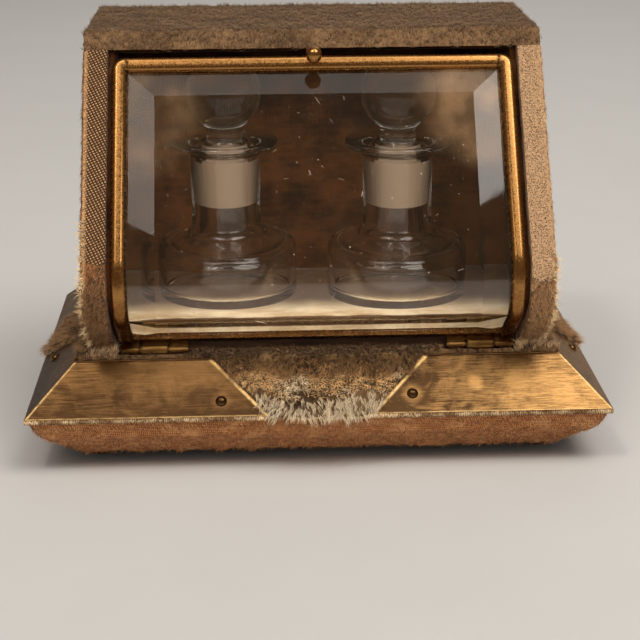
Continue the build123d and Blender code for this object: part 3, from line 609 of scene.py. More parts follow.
@dataclass(frozen=True)
class Silk:
    """Plain silk with a fine rib and soft creases."""

    name: str
    light: Colour
    dark: Colour
    pitch: float = 0.45
    depth: float = 0.05
    painted_shade: Optional[PaintedShade] = None
    sheen: float = 0.1

    def material(self) -> bpy.types.Material:
        """Builds the silk."""
        shader = Shader(self.name, Sheen_Weight=self.sheen, Sheen_Roughness=0.35, Specular_IOR_Level=0.12)
        ribs = shader.ribs(self.pitch, shader.place((1, 0.1, 0.1)), 0.6)
        slub = shader.noise(0.7, shader.place((0.15, 1, 1)), 4.0, 0.6)
        cloud = shader.noise(0.06, None, 4.0, 0.6)
        share = shader.weighed(cloud, 0.7, slub, 0.3)
        colour = shader.blend(shader.span(share, 0.38, 0.62), self.dark, self.light)
        colour = shader.blend(shader.times(ribs, 0.16), colour, self.dark)
        # Painted shade: the silk turns brown behind the front line and before its front edge, where the case
        # shades the pad.
        if self.painted_shade:
            kept = self.painted_shade
            depth = shader.plus(shader.axis("Y"), shader.times(cloud, 6.0))
            behind = shader.span(depth, kept.front + 3.0, kept.back + 3.0, 0.0, 0.96)
            colour = shader.blend(behind, colour, kept.brown)
            before = shader.span(depth, kept.edge + 2.5, kept.edge + 3.5, 0.9, 0.0)
            colour = shader.blend(before, colour, kept.brown)
        shader.dress(
            Base_Color=colour,
            Roughness=shader.span(slub, 0.3, 0.7, 0.5, 0.68),
            Normal=shader.relief(
                shader.noise(0.09, shader.place((0.5, 1, 1)), 2.0, 0.4, 0.5),
                0.5,
                0.35,
                shader.relief(ribs, self.depth, 0.6),
            ),
        )
        return shader.material


@dataclass(frozen=True)
class ClearGlass:
    """Clear old glass with a breath of dust on it."""

    name: str
    tint: Colour = (0.985, 0.98, 0.965)
    dust: float = 0.04
    specks: float = 0.06
    dust_colour: Colour = paint(190, 152, 112)
    wave: float = 0.03
    dust_and_glare_patches: tuple[tuple[Point, float, float], ...] = ()

    def material(self) -> bpy.types.Material:
        """Builds the glass and lays the dust over it."""
        shader = Shader(self.name, IOR=1.5, Transmission_Weight=1.0, Base_Color=self.tint)
        film = shader.noise(0.09, None, 4.0, 0.65)
        specks = shader.span(shader.noise(1.7, None, 5.0, 0.75), 0.64, 0.74)
        shader.dress(
            Roughness=shader.span(film, 0.4, 0.7, 0.0, 0.05),
            Normal=shader.relief(shader.noise(0.05, None, 2.0), self.wave, 0.4),
        )
        powder = shader.node("ShaderNodeBsdfDiffuse")
        powder.inputs["Color"].default_value = (*self.dust_colour, 1.0)
        mixed = shader.node("ShaderNodeMixShader")
        share = shader.weighed(shader.span(film, 0.3, 0.75), self.dust, specks, self.specks)
        # Pale dust patches; on the pane's upper side bevels they also stand in as painted reflection of a
        # bright window.
        for point, radius, most in self.dust_and_glare_patches:
            cloud = shader.times(shader.near(point, radius * 0.5, radius), most)
            cloud = shader.times(cloud, shader.span(film, 0.35, 0.65, 0.3, 1.0))
            share = shader.plus(share, cloud)
        shader.feed(mixed.inputs[0], share)
        shader.tree.links.new(shader.surface.outputs[0], mixed.inputs[1])
        shader.tree.links.new(powder.outputs[0], mixed.inputs[2])
        shader.tree.links.new(mixed.outputs[0], shader.output.inputs["Surface"])
        return shader.material


@dataclass(frozen=True)
class GroundGlass:
    """Glass that was ground matt so that the stopper seals, seen as a grey bloom."""

    name: str
    bloom: Colour = paint(150, 130, 110)

    def material(self) -> bpy.types.Material:
        """Builds the ground glass."""
        grain = Shader(self.name, IOR=1.5, Transmission_Weight=0.35, Base_Color=self.bloom)
        turned = grain.noise(1.2, grain.place((0.15, 0.15, 2.2)), 4.0, 0.6)
        grain.dress(
            Roughness=grain.span(turned, 0.3, 0.7, 0.42, 0.62),
            Normal=grain.relief(turned, 0.04, 0.5),
        )
        return grain.material


@dataclass(frozen=True)
class StainedWood:
    """Wood with a long grain."""

    name: str
    light: Colour
    dark: Colour
    grain: Point = (0.06, 1.0, 1.0)

    def material(self) -> bpy.types.Material:
        """Builds the wood."""
        shader = Shader(self.name)
        rings = shader.noise(0.5, shader.place(self.grain), 6.0, 0.65, 1.5)
        pores = shader.noise(2.4, shader.place(self.grain), 3.0, 0.6)
        share = shader.weighed(rings, 0.7, pores, 0.3)
        shader.dress(
            Base_Color=shader.blend(shader.span(share, 0.38, 0.64), self.dark, self.light),
            Roughness=shader.span(pores, 0.3, 0.7, 0.5, 0.7),
            Normal=shader.relief(share, 0.1, 0.5),
        )
        return shader.material


@dataclass(frozen=True)
class PaleFloor:
    """A plain pale floor with the faintest mottle."""

    name: str = "pale_floor"
    light: Colour = paint(236, 233, 228)
    dark: Colour = paint(228, 224, 218)

    def material(self) -> bpy.types.Material:
        """Builds the floor's paint."""
        shader = Shader(self.name, Roughness=0.75, Specular_IOR_Level=0.25)
        cloud = shader.noise(0.012, None, 4.0, 0.6)
        shader.dress(Base_Color=shader.blend(cloud, self.dark, self.light))
        return shader.material


@dataclass(frozen=True)
class DoorLine:
    """The side line of the bent door, in millimetres: up from the foot, round the bend and on to the head."""

    foot: tuple[float, float] = (-38.36, 34.318)
    low_angle: float = 142.5
    high_angle: float = 54.0
    low_run: float = 15.5
    radius: float = 17.0
    head_level: float = 120.3

    @property
    def arc(self) -> float:
        """The length of the bend."""
        return math.radians(self.low_angle - self.high_angle) * self.radius

    @property
    def length(self) -> float:
        """The whole length, from foot to head."""
        _, _, end_z, _, _ = self.mark(self.low_run + self.arc)
        rise = math.sin(math.radians(self.high_angle))
        return self.low_run + self.arc + (self.head_level - end_z) / rise

    def mark(self, distance: float) -> tuple[float, float, float, float, float]:
        """Finds a place on the line.

        Args:
            distance: How far it is from the foot.

        Returns:
            The angle in radians, the place's Y and Z, and the Y and Z of the way into the case.
        """
        low = math.radians(self.low_angle)
        high = math.radians(self.high_angle)
        start_y = self.foot[0] + math.cos(low) * min(distance, self.low_run)
        start_z = self.foot[1] + math.sin(low) * min(distance, self.low_run)
        turned = min(max(distance - self.low_run, 0.0) / self.radius, low - high)
        angle = low - turned
        if turned > 0:
            start_y += (math.sin(low) - math.sin(angle)) * self.radius
            start_z += (math.cos(angle) - math.cos(low)) * self.radius
        over = max(distance - self.low_run - (low - high) * self.radius, 0.0)
        start_y += math.cos(angle) * over
        start_z += math.sin(angle) * over
        return angle, start_y, start_z, math.sin(angle), -math.cos(angle)

    def point(self, across: float, distance: float, depth: float) -> Vector:
        """Gives the point in metres at a place across, along and behind the door's face."""
        _, y, z, in_y, in_z = self.mark(distance)
        return Vector((across, y + in_y * depth, z + in_z * depth)) * MM

    def bend(self, shell: bmesh.types.BMesh) -> None:
        """Bends a flat pattern in millimetres, X across, Y along and Z into the case, onto the line."""
        for vert in shell.verts:
            vert.co = self.point(*vert.co)


DOOR_LINE = DoorLine()


def welded(node: str) -> bmesh.types.BMesh:
    """Gives a merged copy of a CAD node's mesh."""
    shell = bmesh.new()
    shell.from_mesh(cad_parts[node].data)
    bmesh.ops.remove_doubles(shell, verts=shell.verts, dist=WELD)
    for face in shell.faces:
        face.material_index = 0
    return shell


def settled(shell: bmesh.types.BMesh, name: str) -> bpy.types.Mesh:
    """Turns a mesh that is being made, and is used up, into a finished one."""
    mesh = bpy.data.meshes.new(name)
    shell.to_mesh(mesh)
    shell.free()
    return mesh


def absorb(whole: bmesh.types.BMesh, mesh: bpy.types.Mesh) -> None:
    """Adds a finished mesh, which is used up, to one that is being made."""
    whole.from_mesh(mesh)
    bpy.data.meshes.remove(mesh)


def cut_through(shell: bmesh.types.BMesh, place: Point, way: Point) -> None:
    """Cuts a mesh along a plane and keeps both halves."""
    bmesh.ops.bisect_plane(
        shell, geom=shell.verts[:] + shell.edges[:] + shell.faces[:], plane_co=place, plane_no=way
    )


def in_scene(name: str, data: Optional[bpy.types.ID]) -> bpy.types.Object:
    """Makes an object of its data and puts it into the scene."""
    obj = bpy.data.objects.new(name, data)
    bpy.context.scene.collection.objects.link(obj)
    return obj


def piece_from(
    shell: bmesh.types.BMesh,
    name: str,
    body: Body,
    materials: Sequence[bpy.types.Material],
    replaced: Sequence[str] = (),
    crease: float = 35.0,
    weigh: bool = False,
) -> bpy.types.Object:
    """Makes a finished piece of a mesh, hangs it on its body's empty and hides the CAD nodes that it stands
    for.

    Args:
        shell: The mesh, in place. It is used up.
        name: The piece's name.
        body: What it rides on.
        materials: Its materials.
        replaced: The CAD nodes that it stands for.
        crease: Edges over this angle stay sharp, in degrees.
        weigh: Whether large faces lead the shading.

    Returns:
        The new object.
    """
    for face in shell.faces:
        face.smooth = True
    mesh = settled(shell, name)
    mesh.set_sharp_from_angle(angle=math.radians(crease))
    for material in materials:
        mesh.materials.append(material)
    obj = in_scene(name, mesh)
    if weigh:
        obj.modifiers.new("weigh", "WEIGHTED_NORMAL").keep_sharp = True
    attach(obj, body.value)
    if replaced:
        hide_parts(*replaced)
    log.info("%s: %d faces", name, len(mesh.polygons))
    return obj


def rounded_copy(node: str, bevel: float, shortest: float = 1.6, flat: float = 1.0) -> bmesh.types.BMesh:
    """Copies a hard CAD node, makes its flat faces whole and rounds its long sharp edges.

    Args:
        node: The CAD node.
        bevel: The width of the rounding, in millimetres, or 0 for none.
        shortest: Shorter edges stay sharp, in millimetres.
        flat: Faces within this angle are one face, in degrees.

    Returns:
        The new mesh.
    """
    shell = welded(node)
    bmesh.ops.dissolve_limit(
        shell,
        angle_limit=math.radians(flat),
        verts=shell.verts,
        edges=shell.edges,
        use_dissolve_boundaries=False,
    )
    if bevel:
        sharp = [
            edge
            for edge in shell.edges
            if edge.is_manifold
            and edge.calc_length() > shortest * MM
            and edge.calc_face_angle(0.0) > math.radians(30)
        ]
        bmesh.ops.bevel(
            shell,
            geom=sharp,
            offset=bevel * MM,
            offset_type="OFFSET",
            affect="EDGES",
            segments=2,
            profile=0.5,
            material=-1,
            clamp_overlap=True,
        )
    return shell


def remeshed(shell: bmesh.types.BMesh, voxel: float) -> bmesh.types.BMesh:
    """Makes an even mesh of a closed shell.

    Args:
        shell: The closed shell. It is used up.
        voxel: The size of its faces, in millimetres.

    Returns:
        The new mesh.
    """
    mesh = settled(shell, "blank")
    blank = in_scene("blank", mesh)
    remesh = blank.modifiers.new("remesh", "REMESH")
    remesh.mode = "VOXEL"
    remesh.voxel_size = voxel * MM
    made = bpy.data.meshes.new_from_object(blank.evaluated_get(bpy.context.evaluated_depsgraph_get()))
    even = bmesh.new()
    even.from_mesh(made)
    bpy.data.objects.remove(blank)
    bpy.data.meshes.remove(mesh)
    bpy.data.meshes.remove(made)
    return even


def ruffled(shell: bmesh.types.BMesh, layers: Iterable[tuple[float, float]], seed: float) -> None:
    """Moves a mesh in and out along its normals by noise.

    Args:
        shell: The mesh.
        layers: Pairs of a feature size and a height, both in millimetres.
        seed: Where in the noise it starts.
    """
    shell.normal_update()
    for size, height in layers:
        for vert in shell.verts:
            vert.co += vert.normal * (noise.noise(vert.co / (size * MM) + Vector((seed, 0, 0))) * height * MM)


@dataclass(frozen=True)
class Lock:
    """One lock of pile, whose hairs start apart, lean over and gather at their tips."""

    hairs: int
    spread: float
    gather: float
    shortest: float
    longest: float
    radius: float
    root_rise: float
    tip_rise: float
    stray: float
    models: int = 6

    def hair(self, chance: random.Random) -> bmesh.types.BMesh:
        """Makes one bent three-sided hair that leans along X and stands on the origin."""
        strand = bmesh.new()
        bmesh.ops.create_cone(
            strand,
            cap_ends=True,
            segments=3,
            radius1=self.radius,
            radius2=0.0,
            depth=1.0,
            matrix=Matrix.Translation((0, 0, 0.5)),
        )
        for cut in (0.38, 0.72):
            cut_through(strand, (0, 0, cut), (0, 0, 1))
        bmesh.ops.remove_doubles(strand, verts=strand.verts, dist=1e-4)
        along = strand.verts.layers.float.new("along")
        tone = strand.verts.layers.float.new("tone")
        length = chance.uniform(self.shortest, self.longest)
        start = math.radians(self.root_rise + chance.gauss(0, self.stray))
        end = math.radians(self.tip_rise + chance.gauss(0, self.stray))
        if abs(start - end) < 0.02:
            end = start - 0.02
        side = chance.gauss(0, self.stray / 60)
        across = chance.gauss(0, self.spread * 0.5)
        back = chance.gauss(0, self.spread * 0.5)
        light = chance.random()
        for vert in strand.verts:
            share = vert.co.z
            angle = start + (end - start) * share
            run = length * (math.sin(angle) - math.sin(start)) / (end - start)
            rise = length * (math.cos(start) - math.cos(angle)) / (end - start)
            held = 1 - (1 - self.gather) * share**1.5
            swell = 1 - 0.35 * share
            vert[along] = share
            vert[tone] = light
            vert.co = Vector(
                (
                    back * held + run + vert.co.x * swell,
                    across * held + side * length * share**2 + vert.co.y * swell,
                    rise + vert.co.x * swell * 0.4,
                )
            )
        return strand

    def blanks(self, seed: int) -> list[bpy.types.Mesh]:
        """Makes the few locks that are planted many times."""
        chance = random.Random(seed)
        made = []
        for number in range(self.models):
            lock = bmesh.new()
            lock.verts.layers.float.new("along")
            lock.verts.layers.float.new("tone")
            for _ in range(self.hairs):
                absorb(lock, settled(self.hair(chance), "hair"))
            made.append(settled(lock, f"lock_{number}"))
        return made


@dataclass
class Spot:
    """Where one lock is planted, in metres."""

    place: Vector
    normal: Vector
    comb: Vector
    size: float = 1.0
    light: float = 0.5


class Planter:
    """Plants locks on a surface and joins them into pieces."""

    def __init__(self, lock: Lock, seed: int) -> None:
        """Cuts the locks.

        Args:
            lock: How they are cut.
            seed: What their chances start from.
        """
        self.blanks = lock.blanks(seed)
        self.chance = random.Random(seed + 1)

    def plant(self, bed: bmesh.types.BMesh, spot: Spot) -> None:
        """Adds one lock to a bed."""
        comb = (spot.comb - spot.normal * spot.comb.dot(spot.normal)).normalized()
        across = spot.normal.cross(comb)
        stand = Matrix((comb, across, spot.normal)).transposed() * (MM * spot.size)
        lock = self.chance.choice(self.blanks).copy()
        lock.transform(Matrix.Translation(spot.place) @ stand.to_4x4())
        tones = [0.0] * len(lock.vertices)
        lock.attributes["tone"].data.foreach_get("value", tones)
        lock.attributes["tone"].data.foreach_set(
            "value", [min(max(spot.light + (tone - 0.5) * 0.7, 0.0), 1.0) for tone in tones]
        )
        absorb(bed, lock)

    def field(self, spots: Iterable[Spot]) -> bmesh.types.BMesh:
        """Plants every spot, in beds that are joined at the end."""
        beds, bed = [], None
        for number, spot in enumerate(spots):
            if number % 40 == 0:
                bed = bmesh.new()
                beds.append(bed)
            self.plant(bed, spot)
        whole = bmesh.new()
        for bed in beds:
            absorb(whole, settled(bed, "bed"))
        return whole

    def tufts(
        self, spots: Iterable[Spot], name: str, slot: str, hair: bpy.types.Material
    ) -> bpy.types.Object:
        """Plants every spot and makes them one piece of the casket."""
        return piece_from(self.field(spots), name, Body.CASKET, [hair], (), 180)


def scattered(
    shell: bmesh.types.BMesh, per_mm2: float, seed: int, wanted: Callable[[Vector, Vector], float]
) -> list[tuple[Vector, Vector]]:
    """Scatters places over a mesh.

    Args:
        shell: The mesh.
        per_mm2: How many there are to the square millimetre.
        seed: What their chances start from.
        wanted: Gives the share that is kept at a place with a normal.

    Returns:
        Pairs of a place and its normal.
    """
    chance = random.Random(seed)
    found = []
    for face in shell.faces:
        corners = [vert.co for vert in face.verts]
        for _ in range(int(face.calc_area() / MM**2 * per_mm2 + chance.random())):
            first = chance.random()
            second = chance.random()
            low = corners[0].lerp(corners[1], first)
            high = corners[-1].lerp(corners[2], first)
            place = low.lerp(high, second)
            if chance.random() < wanted(place, face.normal):
                found.append((place, face.normal.copy()))
    return found


@dataclass
class Plinth:
    """The splayed base: its pile, its bare ground cloth, its selvedge and its brass corners."""

    lip_level: float = 18.5
    ridge_level: float = 31.5
    half_width: float = 88.5
    half_depth: float = 57.5
    slope_inset: float = 14.3
    pile_base: float = 0.7
    corner_tongue: float = 61.0
    crest_level: float = 27.4
    middle_level: float = 23.2
    pressed: float = 0.12
    stitch_pitch: float = 0.55
    pins: tuple[Point, ...] = ((-30.0, -54.1, 21.6), (28.3, -53.1, 22.5))
    pin_halo: float = 4.2
    pale_spots: tuple[tuple[Point, float], ...] = (((48.0, -51.0, 25.4), 3.4), ((60.5, -51.0, 25.2), 4.8))
    side_lock: Lock = Lock(6, 0.6, 0.7, 2.0, 3.4, 0.13, 45, 12, 12)
    nap_lock: Lock = Lock(6, 0.7, 0.8, 0.9, 2.2, 0.085, 34, 4, 18)
    front_locks: dict[str, Lock] = field(
        default_factory=lambda: {
            "ledge": Lock(6, 0.5, 0.35, 2.0, 2.8, 0.15, 46, 10, 12),
            "crest": Lock(6, 0.42, 0.3, 2.8, 4.6, 0.15, 58, 8, 12),
            "middle": Lock(6, 0.75, 1.0, 1.3, 2.7, 0.15, 66, 20, 24),
            "skirt": Lock(7, 0.6, 0.55, 3.0, 4.8, 0.11, 34, 2, 7),
            "tuft": Lock(7, 0.8, 1.1, 2.4, 4.6, 0.12, 72, 15, 22),
        }
    )

    def build(self) -> None:
        """Builds every piece of the base."""
        self.front_pile()
        self.other_piles()
        self.band()
        self.selvedge()
        self.underside()
        self.corners()

    @property
    def outward(self) -> tuple[float, float]:
        """How much a slope's normal leans outwards and upwards."""
        rise = self.ridge_level - self.lip_level
        length = math.hypot(rise, self.slope_inset)
        return rise / length, self.slope_inset / length

    def height_over_front(self, place: Vector) -> float:
        """Gives how far a place is off the front slope, in millimetres."""
        out, up = self.outward
        return -(place.y / MM + self.half_depth) * out + (place.z / MM - self.lip_level) * up

    def front_pile(self) -> None:
        """Makes the shaggy patch between the front corner plates."""
        backing = remeshed(welded("plinth_plush_front"), 0.55)
        out, up = self.outward
        normal = Vector((0, -out, up))
        for vert in backing.verts:
            over = self.height_over_front(vert.co) - self.pile_base
            if over > 0 and vert.co.z < self.ridge_level * MM:
                vert.co -= normal * over * MM
        ruffled(backing, ((3.0, 0.35), (1.0, 0.15)), 3.0)
        down = Vector((0, -up, -out))
        ledge = self.ridge_level + 0.6

        def kept(place: Vector, way: Vector) -> float:
            if way.dot(normal) < 0.6:
                return 0.0
            return 0.75 + noise.noise(place * 500)

        chance = random.Random(12)
        zones: dict[str, list[Spot]] = {"ledge": [], "crest": [], "middle": [], "skirt": [], "tuft": []}
        for place, _ in scattered(backing, 1.25, 11, kept):
            level = place.z / MM + noise.noise(place * 180) * 2.6
            drift = noise.noise(place * 120 + Vector((5, 0, 0))) * 0.9 + chance.gauss(0, 0.22)
            light = 0.5 + noise.noise(place * 400) * 0.3 + chance.gauss(0, 0.16)
            size = chance.uniform(0.75, 1.2)
            if place.z > ledge * MM:
                corner = abs(place.x) > self.corner_tongue * MM
                comb = Vector((drift * 1.5, chance.gauss(-0.8, 0.5), 0)) if corner else Vector((drift, -1, 0))
                zones["tuft" if corner else "ledge"].append(Spot(place, UP, comb, size, light))
                continue
            zone = "crest" if level > self.crest_level else "middle" if level > self.middle_level else "skirt"
            if zone == "middle":
                drift += chance.gauss(0, 0.8)
            zones[zone].append(Spot(place, normal, down + Vector((drift, 0, 0)), size, light))
        # The crest's near-black roots and its darkening towards the top: partly its own dark colour, partly
        # painted shade between the upright locks.
        dark = Pile(
            "crest_pile",
            paint(26, 16, 8),
            paint(150, 106, 62),
            paint(226, 184, 130),
            paint(228, 200, 158),
            (22.0, 16.0),
        ).material()
        golden = Pile(
            "middle_pile",
            paint(74, 50, 28),
            paint(238, 190, 128),
            paint(253, 232, 186),
            paint(250, 232, 198),
            (24.0, 20.0),
            darkening=0.2,
            pale_spots=(((-8.0, -51.0, 25.5), 7.0), ((25.0, -46.5, 29.5), 7.0)),
        ).material()
        cream = Pile(
            "skirt_pile",
            paint(150, 114, 78),
            paint(240, 212, 170),
            paint(252, 234, 200),
            paint(250, 234, 204),
            (26.0, 21.0),
        ).material()
        hairs = {"ledge": dark, "crest": dark, "middle": golden, "skirt": cream, "tuft": cream}
        felt = Felt("pile_backing", paint(34, 23, 14), paint(104, 78, 50)).material()
        for number, (zone, spots) in enumerate(zones.items()):
            planter = Planter(self.front_locks[zone], 20 + number)
            tuft = planter.tufts(spots, f"front_{zone}_pile", "plinth_plush", hairs[zone])
            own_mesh(tuft)
        base = piece_from(
            backing, "front_pile_backing", Body.CASKET, [felt], ["plinth_plush_front"]
        )

    def other_piles(self) -> None:
        """Makes the shorter pile on the sides and the back of the base."""
        felt = Felt("side_pile_backing", paint(38, 26, 17), paint(92, 68, 46)).material()
        hair = Pile(
            "side_pile",
            paint(54, 36, 22),
            paint(160, 120, 80),
            paint(224, 190, 148),
            bleach_levels=(24.0, 14.0),
            darkening=0.25,
        ).material()
        out, up = self.outward
        ways = {
            "left": (Vector((-out, 0, up)), Vector((-up, 0, -out)), (0.083, 0.0215), 0.00105),
            "right": (Vector((out, 0, up)), Vector((up, 0, -out)), (0.083, 0.0215), 0.00105),
            "back": (Vector((0, out, up)), Vector((0, up, -out)), (0.148, 0.0215), 0.0016),
        }
        for number, (word, (normal, down, flat, cut)) in enumerate(ways.items()):
            backing = remeshed(welded(f"plinth_plush_{word}"), 0.7)
            ruffled(backing, ((3.0, 0.3), (1.2, 0.12)), 7.0 + number)
            chance = random.Random(31 + number)

            def kept(place: Vector, way: Vector) -> float:
                return 1.0 if way.dot(normal) > 0.55 else 0.0

            spots = []
            for place, way in scattered(backing, 0.8, 41 + number, kept):
                side = down.cross(normal) * (noise.noise(place * 110) * 0.8 + chance.gauss(0, 0.3))
                light = 0.5 + noise.noise(place * 250) * 0.45
                spots.append(Spot(place, way, down + side, chance.uniform(0.8, 1.15), light))
            planter = Planter(self.side_lock, 51 + number)
            tufts = planter.tufts(spots, f"{word}_base_pile", "plinth_plush", hair)
            base = piece_from(
                backing,
                f"{word}_base_pile_backing",
                Body.CASKET,
                [felt],
                [f"plinth_plush_{word}"],
            )

    def band(self) -> None:
        """Makes the bare ground cloth that turns in below the lip, with its frayed lower edge."""
        shell = remeshed(welded("rail_cloth"), 0.8)
        low = min(vert.co.z for vert in shell.verts) / MM
        shell.normal_update()
        for vert in shell.verts:
            spot = vert.co / MM
            outer = vert.normal.x * spot.x + vert.normal.y * spot.y > 0
            edge = low + 4.6 + noise.noise(spot * 0.09) * 2.2 + noise.noise(spot * 0.5) * 0.7
            free = min(max((self.lip_level - 0.8 - spot.z) / 1.4, 0.0), 1.0)
            fold = 0.45 * min((spot.z - edge) / 0.8, 1.0) if outer and spot.z > edge else 0.0
            crumple = noise.noise(spot / 5.0) * 0.35 + noise.noise(spot / 1.6) * 0.2
            sunk = 0.3 * (1.0 - free) if outer else 0.0
            vert.co += vert.normal * MM * ((fold + crumple) * free - sunk)
        for vert in shell.verts:
            spot = vert.co / MM
            if spot.z < low + 2.0:
                vert.co.z -= MM * (0.5 + 0.5 * noise.noise(spot * 0.4)) * (low + 2.0 - spot.z) / 2.0
        down = Vector((0, 0, -1))

        def kept(place: Vector, way: Vector) -> float:
            level = place.z / MM
            outer = way.x * place.x + way.y * place.y > 0.2 * MM
            if not outer or level > self.lip_level - 2.2:
                return 0.0
            return 1.0 if level < low + 3.0 else 0.6

        chance = random.Random(61)
        spots = []
        for place, way in scattered(shell, 0.9, 62, kept):
            around = way.cross(UP) * (noise.noise(place * 90) * 1.6 + chance.gauss(0, 0.5))
            light = 0.55 + noise.noise(place * 200) * 0.3 + chance.gauss(0, 0.15)
            spots.append(Spot(place, way, down + around, chance.uniform(0.6, 1.2), light))
        nap = Pile(
            "band_nap",
            paint(106, 62, 33),
            paint(186, 128, 80),
            paint(228, 180, 130),
            bleach_levels=(0.0, -4.0),
            dark_levels=(7.5, 2.5),
            darkening=0.4,
        ).material()
        tufts = Planter(self.nap_lock, 63).tufts(spots, "band_nap", "ground_cloth", nap)
        weave = GroundWeave(
            "band_weave", paint(192, 130, 80), paint(90, 50, 24), paint(192, 146, 100), stitches=(14.6, 16.9)
        ).material()
        base = piece_from(shell, "band_cloth", Body.CASKET, [weave], ["rail_cloth"])

    def selvedge(self) -> None:
        """Makes the woven edge under the lip, a row of short cream stitches."""
        core = rounded_copy("lip_selvedge", 0.2)
        lo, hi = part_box("lip_selvedge")
        middle = (lo.z + hi.z) / 2
        blank = bmesh.new()
        bmesh.ops.create_uvsphere(blank, u_segments=6, v_segments=4, radius=1.0)
        stitch = settled(blank, "stitch")
        row = bmesh.new()
        chance = random.Random(71)
        corners = [(lo.x, lo.y), (hi.x, lo.y), (hi.x, hi.y), (lo.x, hi.y)]
        for number, (x, y) in enumerate(corners):
            next_x, next_y = corners[(number + 1) % 4]
            run = math.hypot(next_x - x, next_y - y)
            count = int(run / (self.stitch_pitch * MM))
            turn = Matrix.Rotation(math.atan2(next_y - y, next_x - x), 4, "Z")
            for step in range(count):
                share = (step + 0.5) / count
                spot = Vector((x + (next_x - x) * share, y + (next_y - y) * share, middle))
                lean = Matrix.Rotation(chance.gauss(0.0, 0.16), 4, "Y")
                size = Matrix.Diagonal(
                    (0.27 * MM, 0.33 * MM, (hi.z - lo.z) * chance.uniform(0.42, 0.62), 1.0)
                )
                copy = stitch.copy()
                copy.transform(Matrix.Translation(spot) @ turn @ lean @ size)
                absorb(row, copy)
        cream = Thread("selvedge_thread", paint(240, 214, 170), paint(92, 60, 32)).material()
        ground = Thread("selvedge_ground", paint(150, 118, 84), paint(58, 38, 23)).material()
        stitches = piece_from(row, "selvedge_stitches", Body.CASKET, [cream], (), 180)
        base = piece_from(core, "selvedge_band", Body.CASKET, [ground], ["lip_selvedge"])

    def underside(self) -> None:
        """Makes the cloth under the base."""
        shell = welded("base_cloth")
        weave = GroundWeave(
            "base_weave", paint(92, 78, 60), paint(46, 36, 26), paint(110, 96, 76), 0.7, nap_share=0.2
        ).material()
        base = piece_from(shell, "underside_cloth", Body.CASKET, [weave], ["base_cloth"])

    def corners(self) -> None:
        """Dresses the four brass corner plates and their pins."""
        halo = tuple((pin, self.pin_halo) for pin in self.pins)
        # The left plate's colours are darker than the right's, and the right plate is brighter towards its
        # outer end: partly duller tarnish, partly painted light from the right.
        finishes = {
            "front_left": AgedBrass(
                "left_plate_brass",
                paint(130, 96, 58),
                paint(76, 54, 33),
                paint(38, 27, 17),
                (0.38, 0.54),
                (0.06, 1.0, 1.0),
                0.5,
                halo,
                0.4,
                ("Z", 31.0, 18.0),
                PlateFolds(),
            ),
            "front_right": AgedBrass(
                "right_plate_brass",
                paint(176, 134, 82),
                paint(78, 56, 35),
                paint(44, 31, 19),
                (0.38, 0.52),
                (0.08, 1.0, 1.0),
                0.5,
                halo + self.pale_spots,
                0.35,
                ("X", 78.0, 22.0),
                PlateFolds(),
            ),
        }
        other = AgedBrass(
            "back_plate_brass",
            tarnish=paint(92, 64, 36),
            gloss=(0.36, 0.5),
            tarnish_share=0.6,
            folds=PlateFolds(),
        )
        for word in ("front_left", "front_right", "back_left", "back_right"):
            node = f"corner_plate_{word}"
            piece_from(
                rounded_copy(node, 0.22),
                f"{word}_corner",
                Body.CASKET,
                [finishes.get(word, other).material()],
                [node],
                30,
                True,
            )
        dark = AgedBrass("pin_brass", paint(150, 116, 74), paint(62, 42, 26), paint(28, 19, 12), (0.24, 0.4))
        pins = welded("plate_pins")
        piece_from(pins, "corner_pins", Body.CASKET, [dark.material()], ["plate_pins"], 80)


